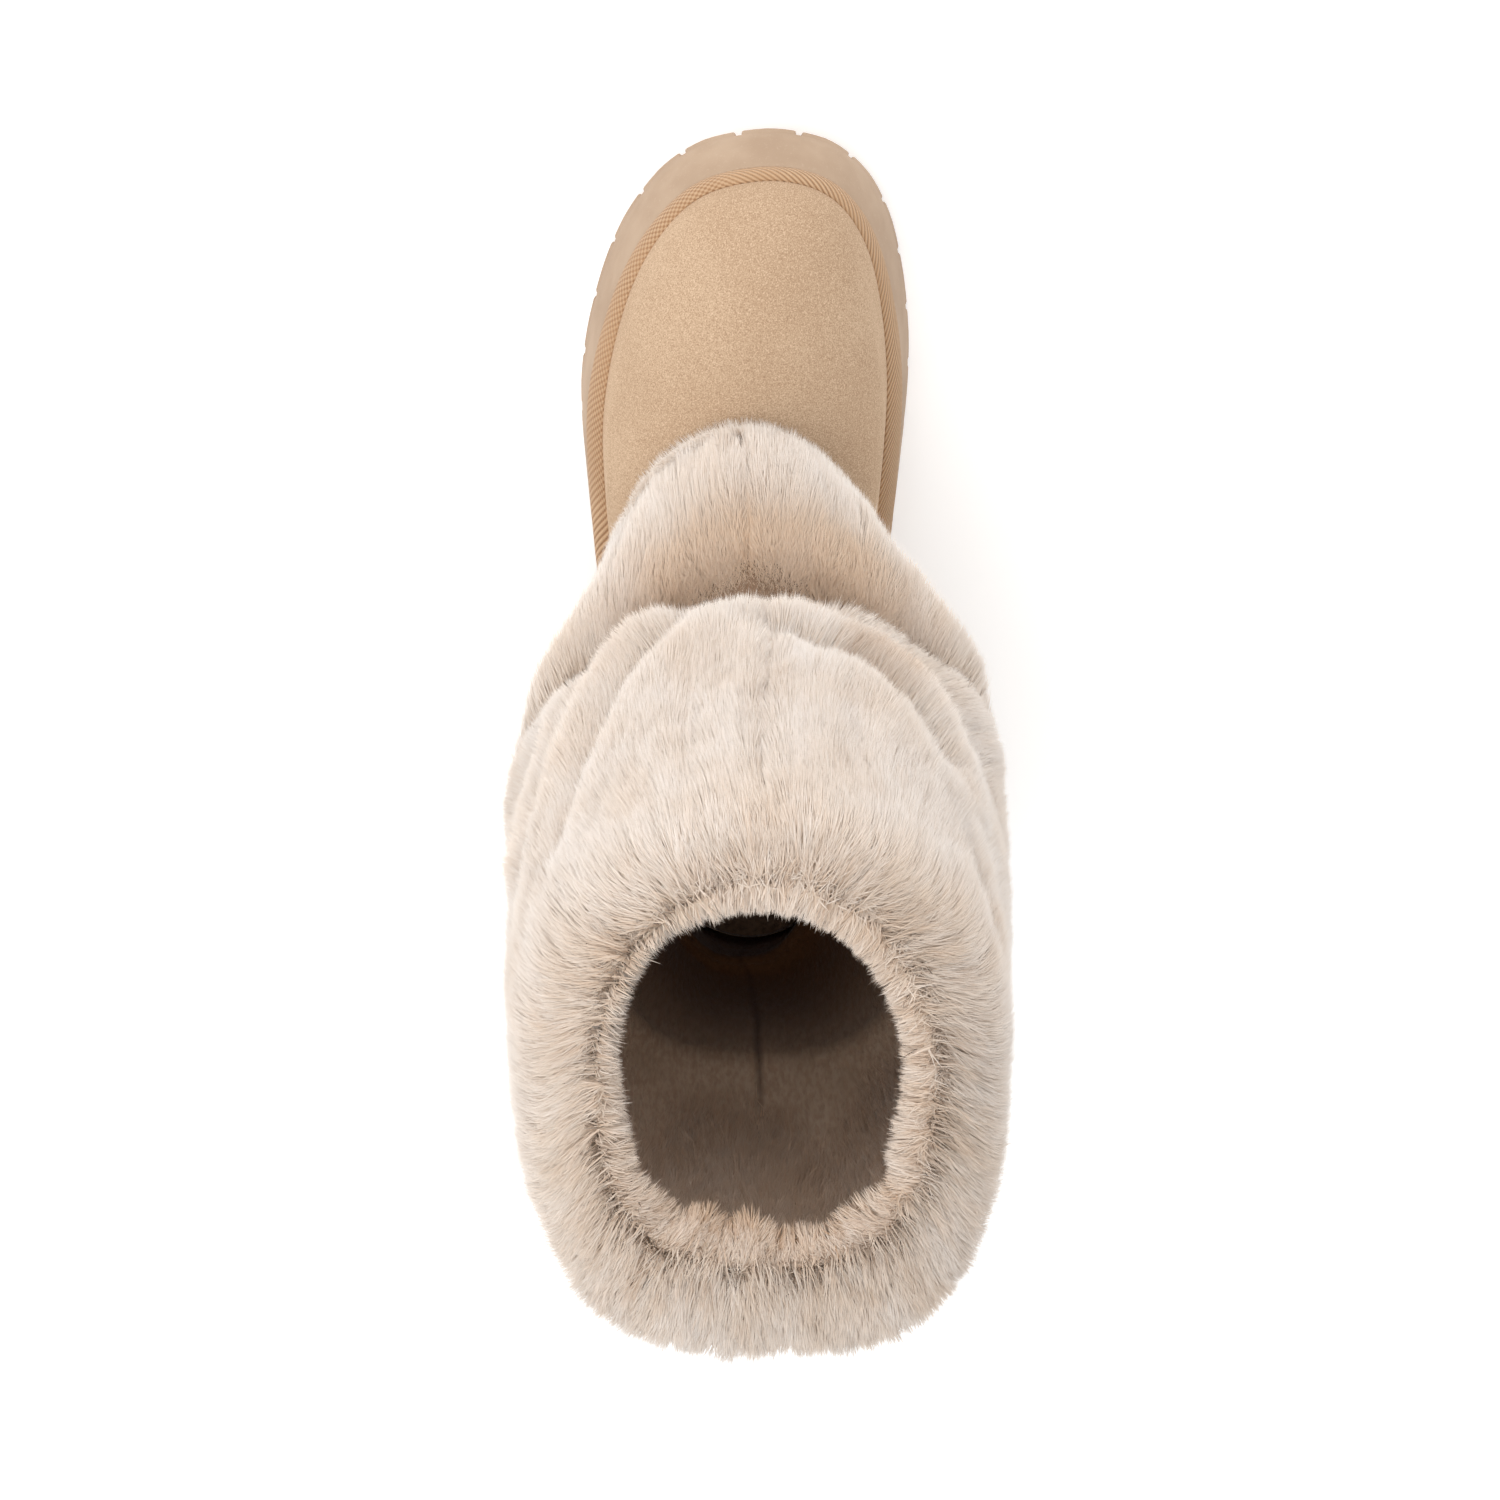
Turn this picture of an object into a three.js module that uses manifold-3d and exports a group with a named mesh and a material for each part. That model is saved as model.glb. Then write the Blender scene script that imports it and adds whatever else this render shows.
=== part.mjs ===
// A left sheepskin boot: a lugged platform sole, a welt, a suede foot upper, a slouched fur shaft
// and an insole.
// Millimetres. +X points to the toe, +Y to the outer side of the foot, +Z up.
// The origin is on the floor, under the middle of the heel's centre lug.
import * as THREE from 'three';
import { mergeVertices } from 'three/addons/utils/BufferGeometryUtils.js';
import Module from 'manifold-3d';

const { lerp, clamp, smoothstep } = THREE.MathUtils;
const wasm = await Module();
wasm.setup();

// Driving sizes of the sole
const soleLength = 280;
const ballWidth = 106;
const heelRest = 36; // heel's back edge to the origin
const heelThickness = 44; // floor to the sole's top under the heel
const ballThickness = 31;
const toeThickness = 26.5;
const toeSpring = 12;
const archRise = 3;
const heelBevel = 2;
const sideDraft = 3.2; // how far the sole's top edge lies inside its foot, along the sides
const toeDraft = 5.6;
const lugDepth = 4.5;
const lugProud = 1.3; // how far a lug stands out of the side
const lugSideHeight = 9;
const lugReach = 14; // from the edge inwards
const lugGap = 4;
const edgeLugs = 34;
const centreLugs = 13;
const centrePitch = 17;

// Driving sizes of the upper, the welt and the insole
const upperWall = 3;
const upperBulge = 0.045; // as a share of the suede's rise
const weltHeight = 6.5;
const weltLip = 1.4;
const weltBulge = 0.8;
const weltAtToe = 2.1; // how far the upper stands in from the sole's top edge
const weltAtSide = 5.2;
const weltAtHeel = 3.6;
const insoleThickness = 5;
const insoleEdge = 1.2;
const insoleGap = 2;

// Driving sizes of the shaft
const shaftHeight = 223; // sole's top at the heel to the rim
const shaftWidth = 145; // greatest width of the dense fur, without its locks
const shaftGirth = 500;
const shaftWall = 20; // dense fur and its lining together, at mid height
const shaftShift = -4; // how far the rim leans to the inner side
const rimDrop = 5; // how far the lining's top edge lies below the rim
const lockLength = 36;
const lockWidth = 26;
const lockLift = 5;
const lockTipLift = 2.5;
const lockRoot = 2.5; // how deep a lock is rooted in the dense fur

// Clearance between pieces that touch
const fit = 0.3;
const weltFit = 0.5; // the welt's straight back clears the suede's bulge by this much at its edges

// How finely the curved pieces are faceted
const sliver = 0.05; // edges shorter than this are closed up
const stationsAround = 48;
const soleStations = 96;
const shaftRings = 22;
const liningRings = 7;
const upperRings = 7;

const xAt = (share) => share * soleLength - heelRest;
const shareAt = (x) => (x + heelRest) / soleLength;
const squareOf = (value) => value * value;

// Sole outline seen from above, from the toe along the outer side to the heel and back along the inner side.
// along is a share of the sole's length from the heel, side a share of the ball width.
const outlineRows = [
  { along: 1.0, side: -0.057 },
  { along: 0.98, side: 0.165 },
  { along: 0.921, side: 0.325 },
  { along: 0.829, side: 0.442 },
  { along: 0.7, side: 0.515 },
  { along: 0.557, side: 0.502 },
  { along: 0.396, side: 0.457 },
  { along: 0.236, side: 0.41 },
  { along: 0.11, side: 0.363 },
  { along: 0.03, side: 0.226 },
  { along: 0.0, side: 0.0 },
  { along: 0.03, side: -0.222 },
  { along: 0.11, side: -0.358 },
  { along: 0.236, side: -0.387 },
  { along: 0.396, side: -0.402 },
  { along: 0.557, side: -0.456 },
  { along: 0.718, side: -0.486 },
  { along: 0.843, side: -0.453 },
  { along: 0.929, side: -0.378 },
  { along: 0.982, side: -0.25 },
];

// The sole's side, from its top edge down. down and inset are shares of the side's height and draft.
const sideRows = [
  { down: 0, inset: 1.12 },
  { down: 0.05, inset: 0.95 },
  { down: 0.5, inset: 0.34 },
  { down: 0.82, inset: 0.06 },
  { down: 1, inset: 0.16 },
];

// Sections of the shaft from the seam up to the rim. front, wide and back are shares of the sole's length
// from the heel, half is a share of half the shaft's width, the rises are shares of the shaft's height, lean
// is a share of the rim's shift, round is the power of the section's oval at the back, and wall is a share of
// the shaft's wall.
const shaftRows = [
  {
    front: 0.721, wide: 0.5, back: 0.03, half: 0.51,
    riseFront: 0.152, riseSide: 0.062, riseBack: 0.09, lean: -0.75, round: 2.6, wall: 0.22,
  },
  {
    front: 0.747, wide: 0.46, back: -0.004, half: 0.66,
    riseFront: 0.172, riseSide: 0.058, riseBack: 0.09, lean: -0.2, round: 2.6, wall: 0.51,
  },
  {
    front: 0.733, wide: 0.4, back: -0.026, half: 0.79,
    riseFront: 0.246, riseSide: 0.14, riseBack: 0.168, lean: 0.3, round: 2.6, wall: 0.725,
  },
  {
    front: 0.69, wide: 0.34, back: -0.036, half: 0.93,
    riseFront: 0.306, riseSide: 0.226, riseBack: 0.245, lean: 0.6, round: 2.6, wall: 0.87,
  },
  {
    front: 0.633, wide: 0.305, back: -0.043, half: 1,
    riseFront: 0.336, riseSide: 0.29, riseBack: 0.306, lean: 0.6, round: 2.6, wall: 0.94,
  },
  {
    front: 0.554, wide: 0.314, back: -0.032, half: 0.96,
    riseFront: 0.332, riseSide: 0.336, riseBack: 0.35, lean: 0.7, round: 2.6, wall: 0.82,
  },
  {
    front: 0.593, wide: 0.307, back: -0.054, half: 1.02,
    riseFront: 0.377, riseSide: 0.386, riseBack: 0.395, lean: 0.8, round: 2.6, wall: 0.965,
  },
  {
    front: 0.614, wide: 0.304, back: -0.064, half: 1.045,
    riseFront: 0.457, riseSide: 0.466, riseBack: 0.471, lean: 0.8, round: 2.7, wall: 1.015,
  },
  {
    front: 0.6, wide: 0.293, back: -0.064, half: 1.01,
    riseFront: 0.619, riseSide: 0.619, riseBack: 0.619, lean: 0.7, round: 2.8, wall: 1.015,
  },
  {
    front: 0.582, wide: 0.282, back: -0.063, half: 0.992,
    riseFront: 0.78, riseSide: 0.78, riseBack: 0.78, lean: 0.6, round: 2.9, wall: 1.07,
  },
  {
    front: 0.564, wide: 0.279, back: -0.059, half: 0.96,
    riseFront: 0.901, riseSide: 0.901, riseBack: 0.901, lean: 0.95, round: 3, wall: 1.21,
  },
  {
    front: 0.546, wide: 0.282, back: -0.05, half: 0.87,
    riseFront: 0.969, riseSide: 0.969, riseBack: 0.969, lean: 1.2, round: 3, wall: 1.015,
  },
  {
    front: 0.511, wide: 0.282, back: 0.05, half: 0.7,
    riseFront: 1, riseSide: 1, riseBack: 1, lean: 1.15, round: 2.5, wall: 0.435,
  },
];

// Creases of the slouched shaft, each along a line from one place to another. around is a turn from the
// front, positive to the outer side, level is a share of the shaft's height, and depth and breadth are shares
// of its width.
const foldRows = [
  { fromAround: -0.07, fromLevel: 0.345, toAround: 0.26, toLevel: 0.345, depth: 0.05, breadth: 0.06 },
  { fromAround: 0.05, fromLevel: 0.46, toAround: 0.17, toLevel: 0.8, depth: 0.05, breadth: 0.07 },
  { fromAround: -0.04, fromLevel: 0.43, toAround: -0.17, toLevel: 0.74, depth: 0.05, breadth: 0.07 },
  { fromAround: -0.06, fromLevel: 0.42, toAround: -0.27, toLevel: 0.46, depth: 0.055, breadth: 0.055 },
  { fromAround: 0.3, fromLevel: 0.36, toAround: 0.46, toLevel: 0.3, depth: 0.045, breadth: 0.06 },
  { fromAround: -0.3, fromLevel: 0.3, toAround: -0.47, toLevel: 0.36, depth: 0.045, breadth: 0.06 },
  { fromAround: 0.33, fromLevel: 0.6, toAround: 0.52, toLevel: 0.55, depth: 0.035, breadth: 0.08 },
];
const foldLip = 0.35; // how far a crease's lips swell, as a share of its depth

// Uniform Catmull-Rom value of a table's column at a share of its length, flat past both ends.
function columnAt(rows, key, share) {
  const place = clamp(share, 0, 1) * (rows.length - 1);
  const i = Math.min(Math.floor(place), rows.length - 2);
  const t = place - i;
  const [a, b, c, d] = [i - 1, i, i + 1, i + 2].map((k) => rows[clamp(k, 0, rows.length - 1)][key]);
  const bent = (2 * a - 5 * b + 4 * c - d) * t * t;
  const turned = (3 * b - a - 3 * c + d) * t * t * t;
  return 0.5 * (2 * b + (c - a) * t + bent + turned);
}

// Turns a closed line of points, from toe to heel and back, into a function of u: 0 at the toe, 0.25 about
// the outer side, 0.5 at the heel. Each half is run through by its length.
function byLength(points) {
  const half = points.length / 2;
  const lengths = [0];
  points.forEach((p, i) => lengths.push(lengths[i] + p.distanceTo(points[(i + 1) % points.length])));
  return (u) => {
    const turn = u - Math.floor(u);
    const start = turn < 0.5 ? 0 : half;
    const part = turn < 0.5 ? turn * 2 : turn * 2 - 1;
    const wanted = lerp(lengths[start], lengths[start + half], part);
    let i = start;
    while (i < start + half - 1 && lengths[i + 1] < wanted) i += 1;
    const t = (wanted - lengths[i]) / (lengths[i + 1] - lengths[i]);
    return points[i].clone().lerp(points[(i + 1) % points.length], t);
  };
}

// Outward normal, seen from above, of a closed line given as a function of u.
function planNormal(line, u) {
  const step = 0.004;
  const along = line(u + step).sub(line(u - step));
  return new THREE.Vector3(along.y, -along.x, 0).normalize();
}

const outlineCurve = new THREE.CatmullRomCurve3(
  outlineRows.map((row) => new THREE.Vector3(xAt(row.along), row.side * ballWidth, 0)),
  true,
  'catmullrom',
  0.5,
);
const outline = byLength(outlineCurve.getPoints(outlineRows.length * 12).slice(0, -1));

// Height of the tread's lowest face and of the sole's top at a place along the sole.
function groundAt(x) {
  const share = shareAt(x);
  const arch = Math.sin(Math.PI * clamp((share - 0.34) / 0.2, 0, 1));
  return (
    archRise * squareOf(arch) +
    toeSpring * squareOf(Math.max(0, share - 0.78) / 0.22) +
    heelBevel * squareOf(Math.max(0, 0.06 - share) / 0.06)
  );
}

function topAt(x) {
  const share = shareAt(x);
  const toeLift = toeSpring + toeThickness - ballThickness;
  return (
    lerp(heelThickness, ballThickness, smoothstep(share, 0.28, 0.66)) +
    toeLift * squareOf(Math.max(0, share - 0.72) / 0.28)
  );
}

// Values that change from toe to side to heel round the boot.
function aroundFoot(u, toe, side, heel) {
  const facing = Math.cos(2 * Math.PI * u);
  return facing > 0 ? lerp(side, toe, squareOf(facing)) : lerp(side, heel, squareOf(facing));
}
const draftAt = (u) => aroundFoot(u, toeDraft, sideDraft, sideDraft);
const weltAt = (u) => aroundFoot(u, weltAtToe, weltAtSide, weltAtHeel);

function insideOutline(u, inset) {
  return outline(u).addScaledVector(planNormal(outline, u), -inset);
}

// Geometry of rings that follow each other, each with the same number of points. closed joins the last ring
// to the first; otherwise both ends get a cap that runs across from side to side.
function ringGeometry(rings, closed) {
  const n = rings[0].length;
  const index = [];
  const last = closed ? rings.length : rings.length - 1;
  for (let r = 0; r < last; r += 1) {
    const low = r * n;
    const high = ((r + 1) % rings.length) * n;
    for (let i = 0; i < n; i += 1) {
      const j = (i + 1) % n;
      index.push(low + i, low + j, high + j, low + i, high + j, high + i);
    }
  }
  const cap = (start, facesUp) => {
    for (let i = 0; i < n / 2; i += 1) {
      const quad = [start + i, start + i + 1, start + ((n - i - 1) % n), start + ((n - i) % n)];
      const triangles = [[quad[0], quad[1], quad[2]], [quad[0], quad[2], quad[3]]];
      triangles
        .filter((t) => new Set(t).size === 3)
        .forEach((t) => index.push(...(facesUp ? t : [t[0], t[2], t[1]])));
    }
  };
  if (!closed) {
    cap(0, false);
    cap((rings.length - 1) * n, true);
  }
  const geometry = new THREE.BufferGeometry().setFromPoints(rings.flat());
  geometry.setIndex(index);
  return geometry;
}

function solidOf(geometry) {
  const bare = geometry.clone();
  bare.deleteAttribute('normal');
  bare.deleteAttribute('uv');
  const merged = mergeVertices(bare, 1e-4);
  return new wasm.Manifold(
    new wasm.Mesh({
      numProp: 3,
      vertProperties: merged.attributes.position.array,
      triVerts: new Uint32Array(merged.index.array),
    }),
  );
}

// Geometry of a solid's outer skin, without crumbs, closed-in pockets or slivers.
function geometryOf(solid) {
  const [largest] = solid.decompose().sort((a, b) => b.volume() - a.volume());
  const { vertProperties, triVerts } = largest.simplify(sliver).getMesh();
  const geometry = new THREE.BufferGeometry();
  geometry.setAttribute('position', new THREE.BufferAttribute(vertProperties, 3));
  geometry.setIndex(new THREE.BufferAttribute(triVerts, 1));
  geometry.computeVertexNormals();
  return geometry;
}

const shares = (count) => Array.from({ length: count }, (_, i) => i / count);
const steps = (count) => Array.from({ length: count }, (_, i) => i / (count - 1));

// The sole: one moulded platform with a drafted side, and its lugs.
function soleRing(row) {
  return shares(soleStations).map((u) => {
    const point = insideOutline(u, lugProud * row.down + row.inset * draftAt(u));
    point.z = lerp(topAt(point.x), groundAt(point.x) + lugDepth, row.down);
    return point;
  });
}

// A tread block: its plan corners, from the floor to a height above the tread's lowest face.
function lugSolid(corners, height) {
  const lifted = (rise) => corners.map((p) => new THREE.Vector3(p.x, p.y, groundAt(p.x) + rise));
  return solidOf(ringGeometry([lifted(0), lifted(height)], false));
}

function edgeLug(i) {
  const gap = lugGap / (2 * soleLength + ballWidth);
  const from = (i + 0.5) / edgeLugs + gap / 2;
  const to = (i + 1.5) / edgeLugs - gap / 2;
  const outer = [insideOutline(from, 0), insideOutline(to, 0)];
  const inner = [insideOutline(to, lugReach), insideOutline(from, lugReach)];
  return lugSolid([...outer, ...inner], lugSideHeight);
}

// One bar across the middle of the tread. The heel's is the first, centred on the origin.
function centreLug(i) {
  const middle = i * centrePitch;
  const reach = (centrePitch - lugGap) / 2;
  const width = Math.min(widthAt(middle - reach), widthAt(middle + reach)) - lugReach - lugGap;
  const skew = i === 0 ? 0 : ((i % 2) * 2 - 1) * reach * 0.35;
  const corners = [
    [reach + skew, -width],
    [reach - skew, width],
    [-reach - skew, width],
    [-reach + skew, -width],
  ];
  return lugSolid(corners.map(([x, y]) => new THREE.Vector3(middle + x, y, 0)), lugDepth + 1);
}

// Least half width of the sole's outline near a place along it.
function widthAt(x) {
  const near = shares(200)
    .map((u) => outline(u))
    .filter((p) => Math.abs(p.x - x) < soleLength * 0.03);
  return Math.min(...near.map((p) => Math.abs(p.y)));
}

function makeSole() {
  const body = solidOf(ringGeometry([...sideRows].reverse().map(soleRing), false));
  const edge = Array.from({ length: edgeLugs }, (_, i) => edgeLug(i));
  const centre = Array.from({ length: centreLugs }, (_, i) => centreLug(i));
  return geometryOf([...edge, ...centre].reduce((whole, lug) => whole.add(lug), body));
}

// A section of the shaft as a function of u. Its oval has one centre, at its widest place, and two lengths.
const sectionCache = new Map();
function sectionAt(v) {
  const key = v.toFixed(5);
  if (sectionCache.has(key)) return sectionCache.get(key);
  const row = {};
  Object.keys(shaftRows[0]).forEach((name) => {
    row[name] = columnAt(shaftRows, name, v);
  });
  const halfWidth = (row.half * shaftWidth) / 2;
  const points = shares(144).map((turn) => {
    const c = Math.cos(2 * Math.PI * turn);
    const s = Math.sin(2 * Math.PI * turn);
    const power = 2 / lerp(2, row.round, smoothstep(-c, 0, 0.2));
    const forward = Math.sign(c) * Math.abs(c) ** power;
    const reach = (c > 0 ? row.front - row.wide : row.wide - row.back) * soleLength;
    const riseEnd = c > 0 ? row.riseFront : row.riseBack;
    const rise = lerp(row.riseSide, riseEnd, Math.abs(forward) ** (c > 0 ? 1.5 : 2));
    return new THREE.Vector3(
      xAt(row.wide) + reach * forward,
      row.lean * shaftShift + halfWidth * Math.sign(s) * Math.abs(s) ** power,
      heelThickness + rise * shaftHeight,
    );
  });
  const section = byLength(points);
  sectionCache.set(key, section);
  return section;
}

// Distance from a place on the shaft to a fold's line, in millimetres, and how far along the line it lies.
function foldDistance(fold, around, level) {
  const run = [
    (fold.toAround - fold.fromAround) * shaftGirth,
    (fold.toLevel - fold.fromLevel) * shaftHeight,
  ];
  const turns = Math.round(around - (fold.fromAround + fold.toAround) / 2);
  const wrapped = around - fold.fromAround - turns;
  const way = [wrapped * shaftGirth, (level - fold.fromLevel) * shaftHeight];
  const part = clamp((way[0] * run[0] + way[1] * run[1]) / (run[0] ** 2 + run[1] ** 2), 0, 1);
  return { distance: Math.hypot(way[0] - part * run[0], way[1] - part * run[1]), part };
}

// How far the folds move the shaft's surface outwards at a place: a trough with a soft lip on either side.
function foldMove(around, level) {
  return foldRows.reduce((sum, fold) => {
    const { distance, part } = foldDistance(fold, around, level);
    const breadth = fold.breadth * shaftWidth;
    const fade = 0.35 + 0.65 * Math.sin(Math.PI * clamp(part, 0.1, 0.9));
    const trough = Math.exp(-squareOf(distance / breadth));
    const lip = foldLip * Math.exp(-squareOf((distance - 1.7 * breadth) / breadth));
    return sum + fold.depth * shaftWidth * fade * (lip - trough);
  }, 0);
}

// The shaft's dense outer surface at u round it and v from seam to rim, with its directions.
function shaftSkin(u, v) {
  const du = 0.004;
  const dv = 0.006;
  const point = sectionAt(v)(u);
  const side = sectionAt(v)(u + du).sub(sectionAt(v)(u - du)).normalize();
  const low = Math.max(0, v - dv);
  const high = Math.min(1, v + dv);
  const rise = sectionAt(high)(u).sub(sectionAt(low)(u)).normalize();
  const normal = side.clone().cross(rise).normalize();
  const around = u > 0.5 ? u - 1 : u;
  const level = (point.z - heelThickness) / shaftHeight;
  const settled = smoothstep(v, 0.02, 0.12) * (1 - smoothstep(v, 0.9, 1));
  point.addScaledVector(normal, foldMove(around, level) * settled);
  return { point, normal, side, rise };
}

// The suede's lower edge on the sole, and its rib up to the seam. height is a share of the rib's rise.
function footEdge(u) {
  const point = insideOutline(u, draftAt(u) + weltAt(u));
  point.z = topAt(point.x) + fit;
  return point;
}

function upperRib(u, height, extra = 0) {
  const edge = footEdge(u);
  const seam = sectionAt(0)(u);
  const toeward = Math.max(0, Math.cos(2 * Math.PI * u));
  const arched = 1 - Math.sqrt(1 - height ** 2.17);
  const point = edge.clone().lerp(seam, lerp(height, arched, Math.sqrt(toeward)));
  point.z = lerp(edge.z, seam.z, height);
  const bulge = upperBulge * (seam.z - edge.z) * 4 * height * (1 - height);
  return point.addScaledVector(planNormal(outline, u), bulge + extra);
}

// Rings of the suede from its lower edge to the seam, closer together near the seam, where the toe flattens
// out.
function upperRingsAt(extra) {
  return steps(upperRings).map((v) => {
    const height = Math.sin((Math.PI * v) / 2);
    return shares(stationsAround).map((u) => upperRib(u, height, extra));
  });
}

// Moves each point of a grid of rings inwards along the grid's own normal, by thickness(ring share, u).
function offsetRings(rings, thickness) {
  const n = rings[0].length;
  return rings.map((ring, r) =>
    ring.map((point, i) => {
      const side = ring[(i + 1) % n].clone().sub(ring[(i + n - 1) % n]);
      const above = rings[Math.min(r + 1, rings.length - 1)][i];
      const rise = above.clone().sub(rings[Math.max(r - 1, 0)][i]);
      const normal = side.cross(rise).normalize();
      return point.clone().addScaledVector(normal, -thickness(r / (rings.length - 1), i / n));
    }),
  );
}

function makeUpper() {
  const outer = upperRingsAt(0);
  const inner = offsetRings(outer, () => upperWall);
  inner[0].forEach((point, i) => {
    point.z = outer[0][i].z;
  });
  return ringGeometry([...outer, ...inner.reverse()], true);
}

// The welt: a bead from the sole's top edge up onto the suede.
function makeWelt() {
  const around = shares(soleStations);
  const corner = (u, height, out, rise) => {
    const point = upperRib(u, height, out);
    point.z += rise;
    return point;
  };
  const heightShare = (u) => weltHeight / (sectionAt(0)(u).z - footEdge(u).z);
  const section = (u) => {
    const outer = insideOutline(u, draftAt(u) + 2 * fit);
    outer.z = topAt(outer.x) + fit;
    const outerTop = outer.clone().setZ(outer.z + weltLip);
    const top = corner(u, heightShare(u), weltFit, 0);
    const topOut = corner(u, heightShare(u), weltFit + weltLip, -weltLip * 0.3);
    const middle = outerTop.clone().lerp(topOut, 0.5).addScaledVector(planNormal(outline, u), weltBulge);
    middle.z += weltBulge;
    return [corner(u, 0, weltFit, 0), outer, outerTop, middle, topOut, top];
  };
  const sections = around.map(section);
  const rings = sections[0].map((_, k) => sections.map((s) => s[k]));
  return ringGeometry(rings, true);
}

function makeInsole() {
  const ring = (inset, rise) =>
    shares(stationsAround).map((u) => {
      const point = insideOutline(u, draftAt(u) + weltAt(u) + upperWall + inset);
      point.z = topAt(point.x) + fit + rise;
      return point;
    });
  const under = ring(insoleGap, 0);
  const edge = ring(insoleGap, insoleThickness - insoleEdge);
  const top = ring(insoleGap + insoleEdge, insoleThickness);
  return ringGeometry([under, edge, top], false);
}

// The shaft's inner surface: each section moved inwards by the wall there.
function liningPoint(u, v) {
  const section = sectionAt(v);
  const wall = columnAt(shaftRows, 'wall', v) * shaftWall;
  const point = section(u).addScaledVector(planNormal(section, u), -wall);
  point.z += fit - rimDrop * smoothstep(v, 0.88, 1);
  return point;
}

// Share v on the shaft's rib at u, a way below v measured along the skin. Above v where the way is negative.
function below(u, v, way) {
  const step = way > 0 ? -0.01 : 0.01;
  let [place, left, last] = [v, Math.abs(way), sectionAt(v)(u)];
  while (left > 0 && place + step > 0 && place + step < 1) {
    place += step;
    const next = sectionAt(place)(u);
    left -= next.distanceTo(last);
    last = next;
  }
  return place;
}

// A lock of fur that follows the skin: rooted above and at its sides, with a ridge and a free tip below.
function lockSolid(u, v) {
  const place = (along, across, out) => {
    const { point, normal, side } = shaftSkin(u, below(u, v, along * lockLength));
    return point.addScaledVector(side, across * lockWidth).addScaledVector(normal, out);
  };
  const geometry = new THREE.BufferGeometry().setFromPoints([
    place(-0.4, 0, -lockRoot),
    place(0.1, -0.5, -lockRoot),
    place(0.1, 0.5, -lockRoot),
    place(0.15, 0, lockLift),
    place(0.6, 0.08, lockTipLift),
  ]);
  geometry.setIndex([0, 2, 1, 0, 3, 2, 0, 1, 3, 4, 1, 2, 4, 2, 3, 4, 3, 1]);
  return solidOf(geometry);
}

const lockRows = [
  { level: 0.12, count: 17 },
  { level: 0.27, count: 17 },
  { level: 0.51, count: 16 },
  { level: 0.6, count: 15 },
  { level: 0.7, count: 15 },
  { level: 0.79, count: 14 },
  { level: 0.89, count: 14 },
];

// The whole foot, filled, with its clearance: what the locks over the suede keep out of.
function footSolid() {
  const rings = upperRingsAt(fit);
  rings.flat().forEach((point) => {
    point.z += fit * 0.8;
  });
  return solidOf(ringGeometry(rings, false));
}

function makeShaft() {
  const levels = steps(shaftRings);
  const outer = levels.map((v) => shares(stationsAround).map((u) => shaftSkin(u, v).point));
  outer[0].forEach((point) => {
    point.z += fit;
  });
  const inner = steps(liningRings).map((v) => shares(stationsAround).map((u) => liningPoint(u, v)));
  const body = solidOf(ringGeometry([...outer, ...inner.reverse()], true));
  const locks = lockRows.flatMap(({ level, count }, row) =>
    shares(count).map((share) => lockSolid(share + (row % 2) / (2 * count), level)),
  );
  return geometryOf(locks.reduce((whole, lock) => whole.add(lock), body).subtract(footSolid()));
}

const looks = {
  sole: { color: 0xcfb297, roughness: 0.75, metalness: 0 },
  welt: { color: 0xd9b48c, roughness: 0.8, metalness: 0 },
  upper: { color: 0xd3b18d, roughness: 0.95, metalness: 0 },
  shaft: { color: 0xe8dccf, roughness: 1, metalness: 0 },
  insole: { color: 0xb8a28c, roughness: 1, metalness: 0 },
};

const boot = new THREE.Group();
const makers = { sole: makeSole, welt: makeWelt, upper: makeUpper, shaft: makeShaft, insole: makeInsole };
Object.entries(makers).forEach(([name, make]) => {
  const mesh = new THREE.Mesh(make(), new THREE.MeshStandardMaterial(looks[name]));
  mesh.name = name;
  boot.add(mesh);
});

export default boot;
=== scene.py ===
# Dresses the sheepskin boot: moulded sole, braided welt, suede foot, long fur. Metres, +X to the toe, +Z up.
import math
from types import SimpleNamespace

import bmesh
import bpy
import numpy as np
from mathutils import Matrix


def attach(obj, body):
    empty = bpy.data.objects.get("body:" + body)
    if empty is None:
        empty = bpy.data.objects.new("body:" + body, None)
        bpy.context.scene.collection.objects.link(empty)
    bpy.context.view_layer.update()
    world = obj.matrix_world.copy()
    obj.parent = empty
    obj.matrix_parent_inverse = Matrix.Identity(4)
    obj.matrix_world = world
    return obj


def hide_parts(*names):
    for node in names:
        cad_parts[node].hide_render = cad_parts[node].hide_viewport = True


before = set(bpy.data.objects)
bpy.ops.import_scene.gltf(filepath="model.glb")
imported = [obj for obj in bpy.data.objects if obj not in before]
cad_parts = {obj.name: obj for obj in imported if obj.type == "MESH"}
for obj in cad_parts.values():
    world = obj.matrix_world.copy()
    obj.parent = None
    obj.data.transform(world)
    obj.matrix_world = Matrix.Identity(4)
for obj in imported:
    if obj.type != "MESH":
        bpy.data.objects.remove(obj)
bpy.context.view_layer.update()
print("frame loaded:", ", ".join(sorted(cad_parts)))


# Camera and light

view = {
    "target": (0.0221, 0.0, 0.0), "distance": 1.5, "tilt": 65, "lens": 106.4, "sensor": 36, "reach": 20,
}

lamps = [
    {"name": "overhead", "at": (0.35, 0.85, 1.75), "size": 3.0, "power": 32.2, "colour": (1.0, 0.985, 0.965)},
    {"name": "toeSide", "at": (1.3, -0.3, 0.9), "size": 1.2, "power": 6, "colour": (1.0, 0.99, 0.98)},
]

studio = {
    "sky": 0.66, "litPlace": (0.05, 0.0, 0.1),
    "floorColour": (0.93, 0.93, 0.93, 1), "floorHalf": 3.0, "floorGlow": 0.28,
}


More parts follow.
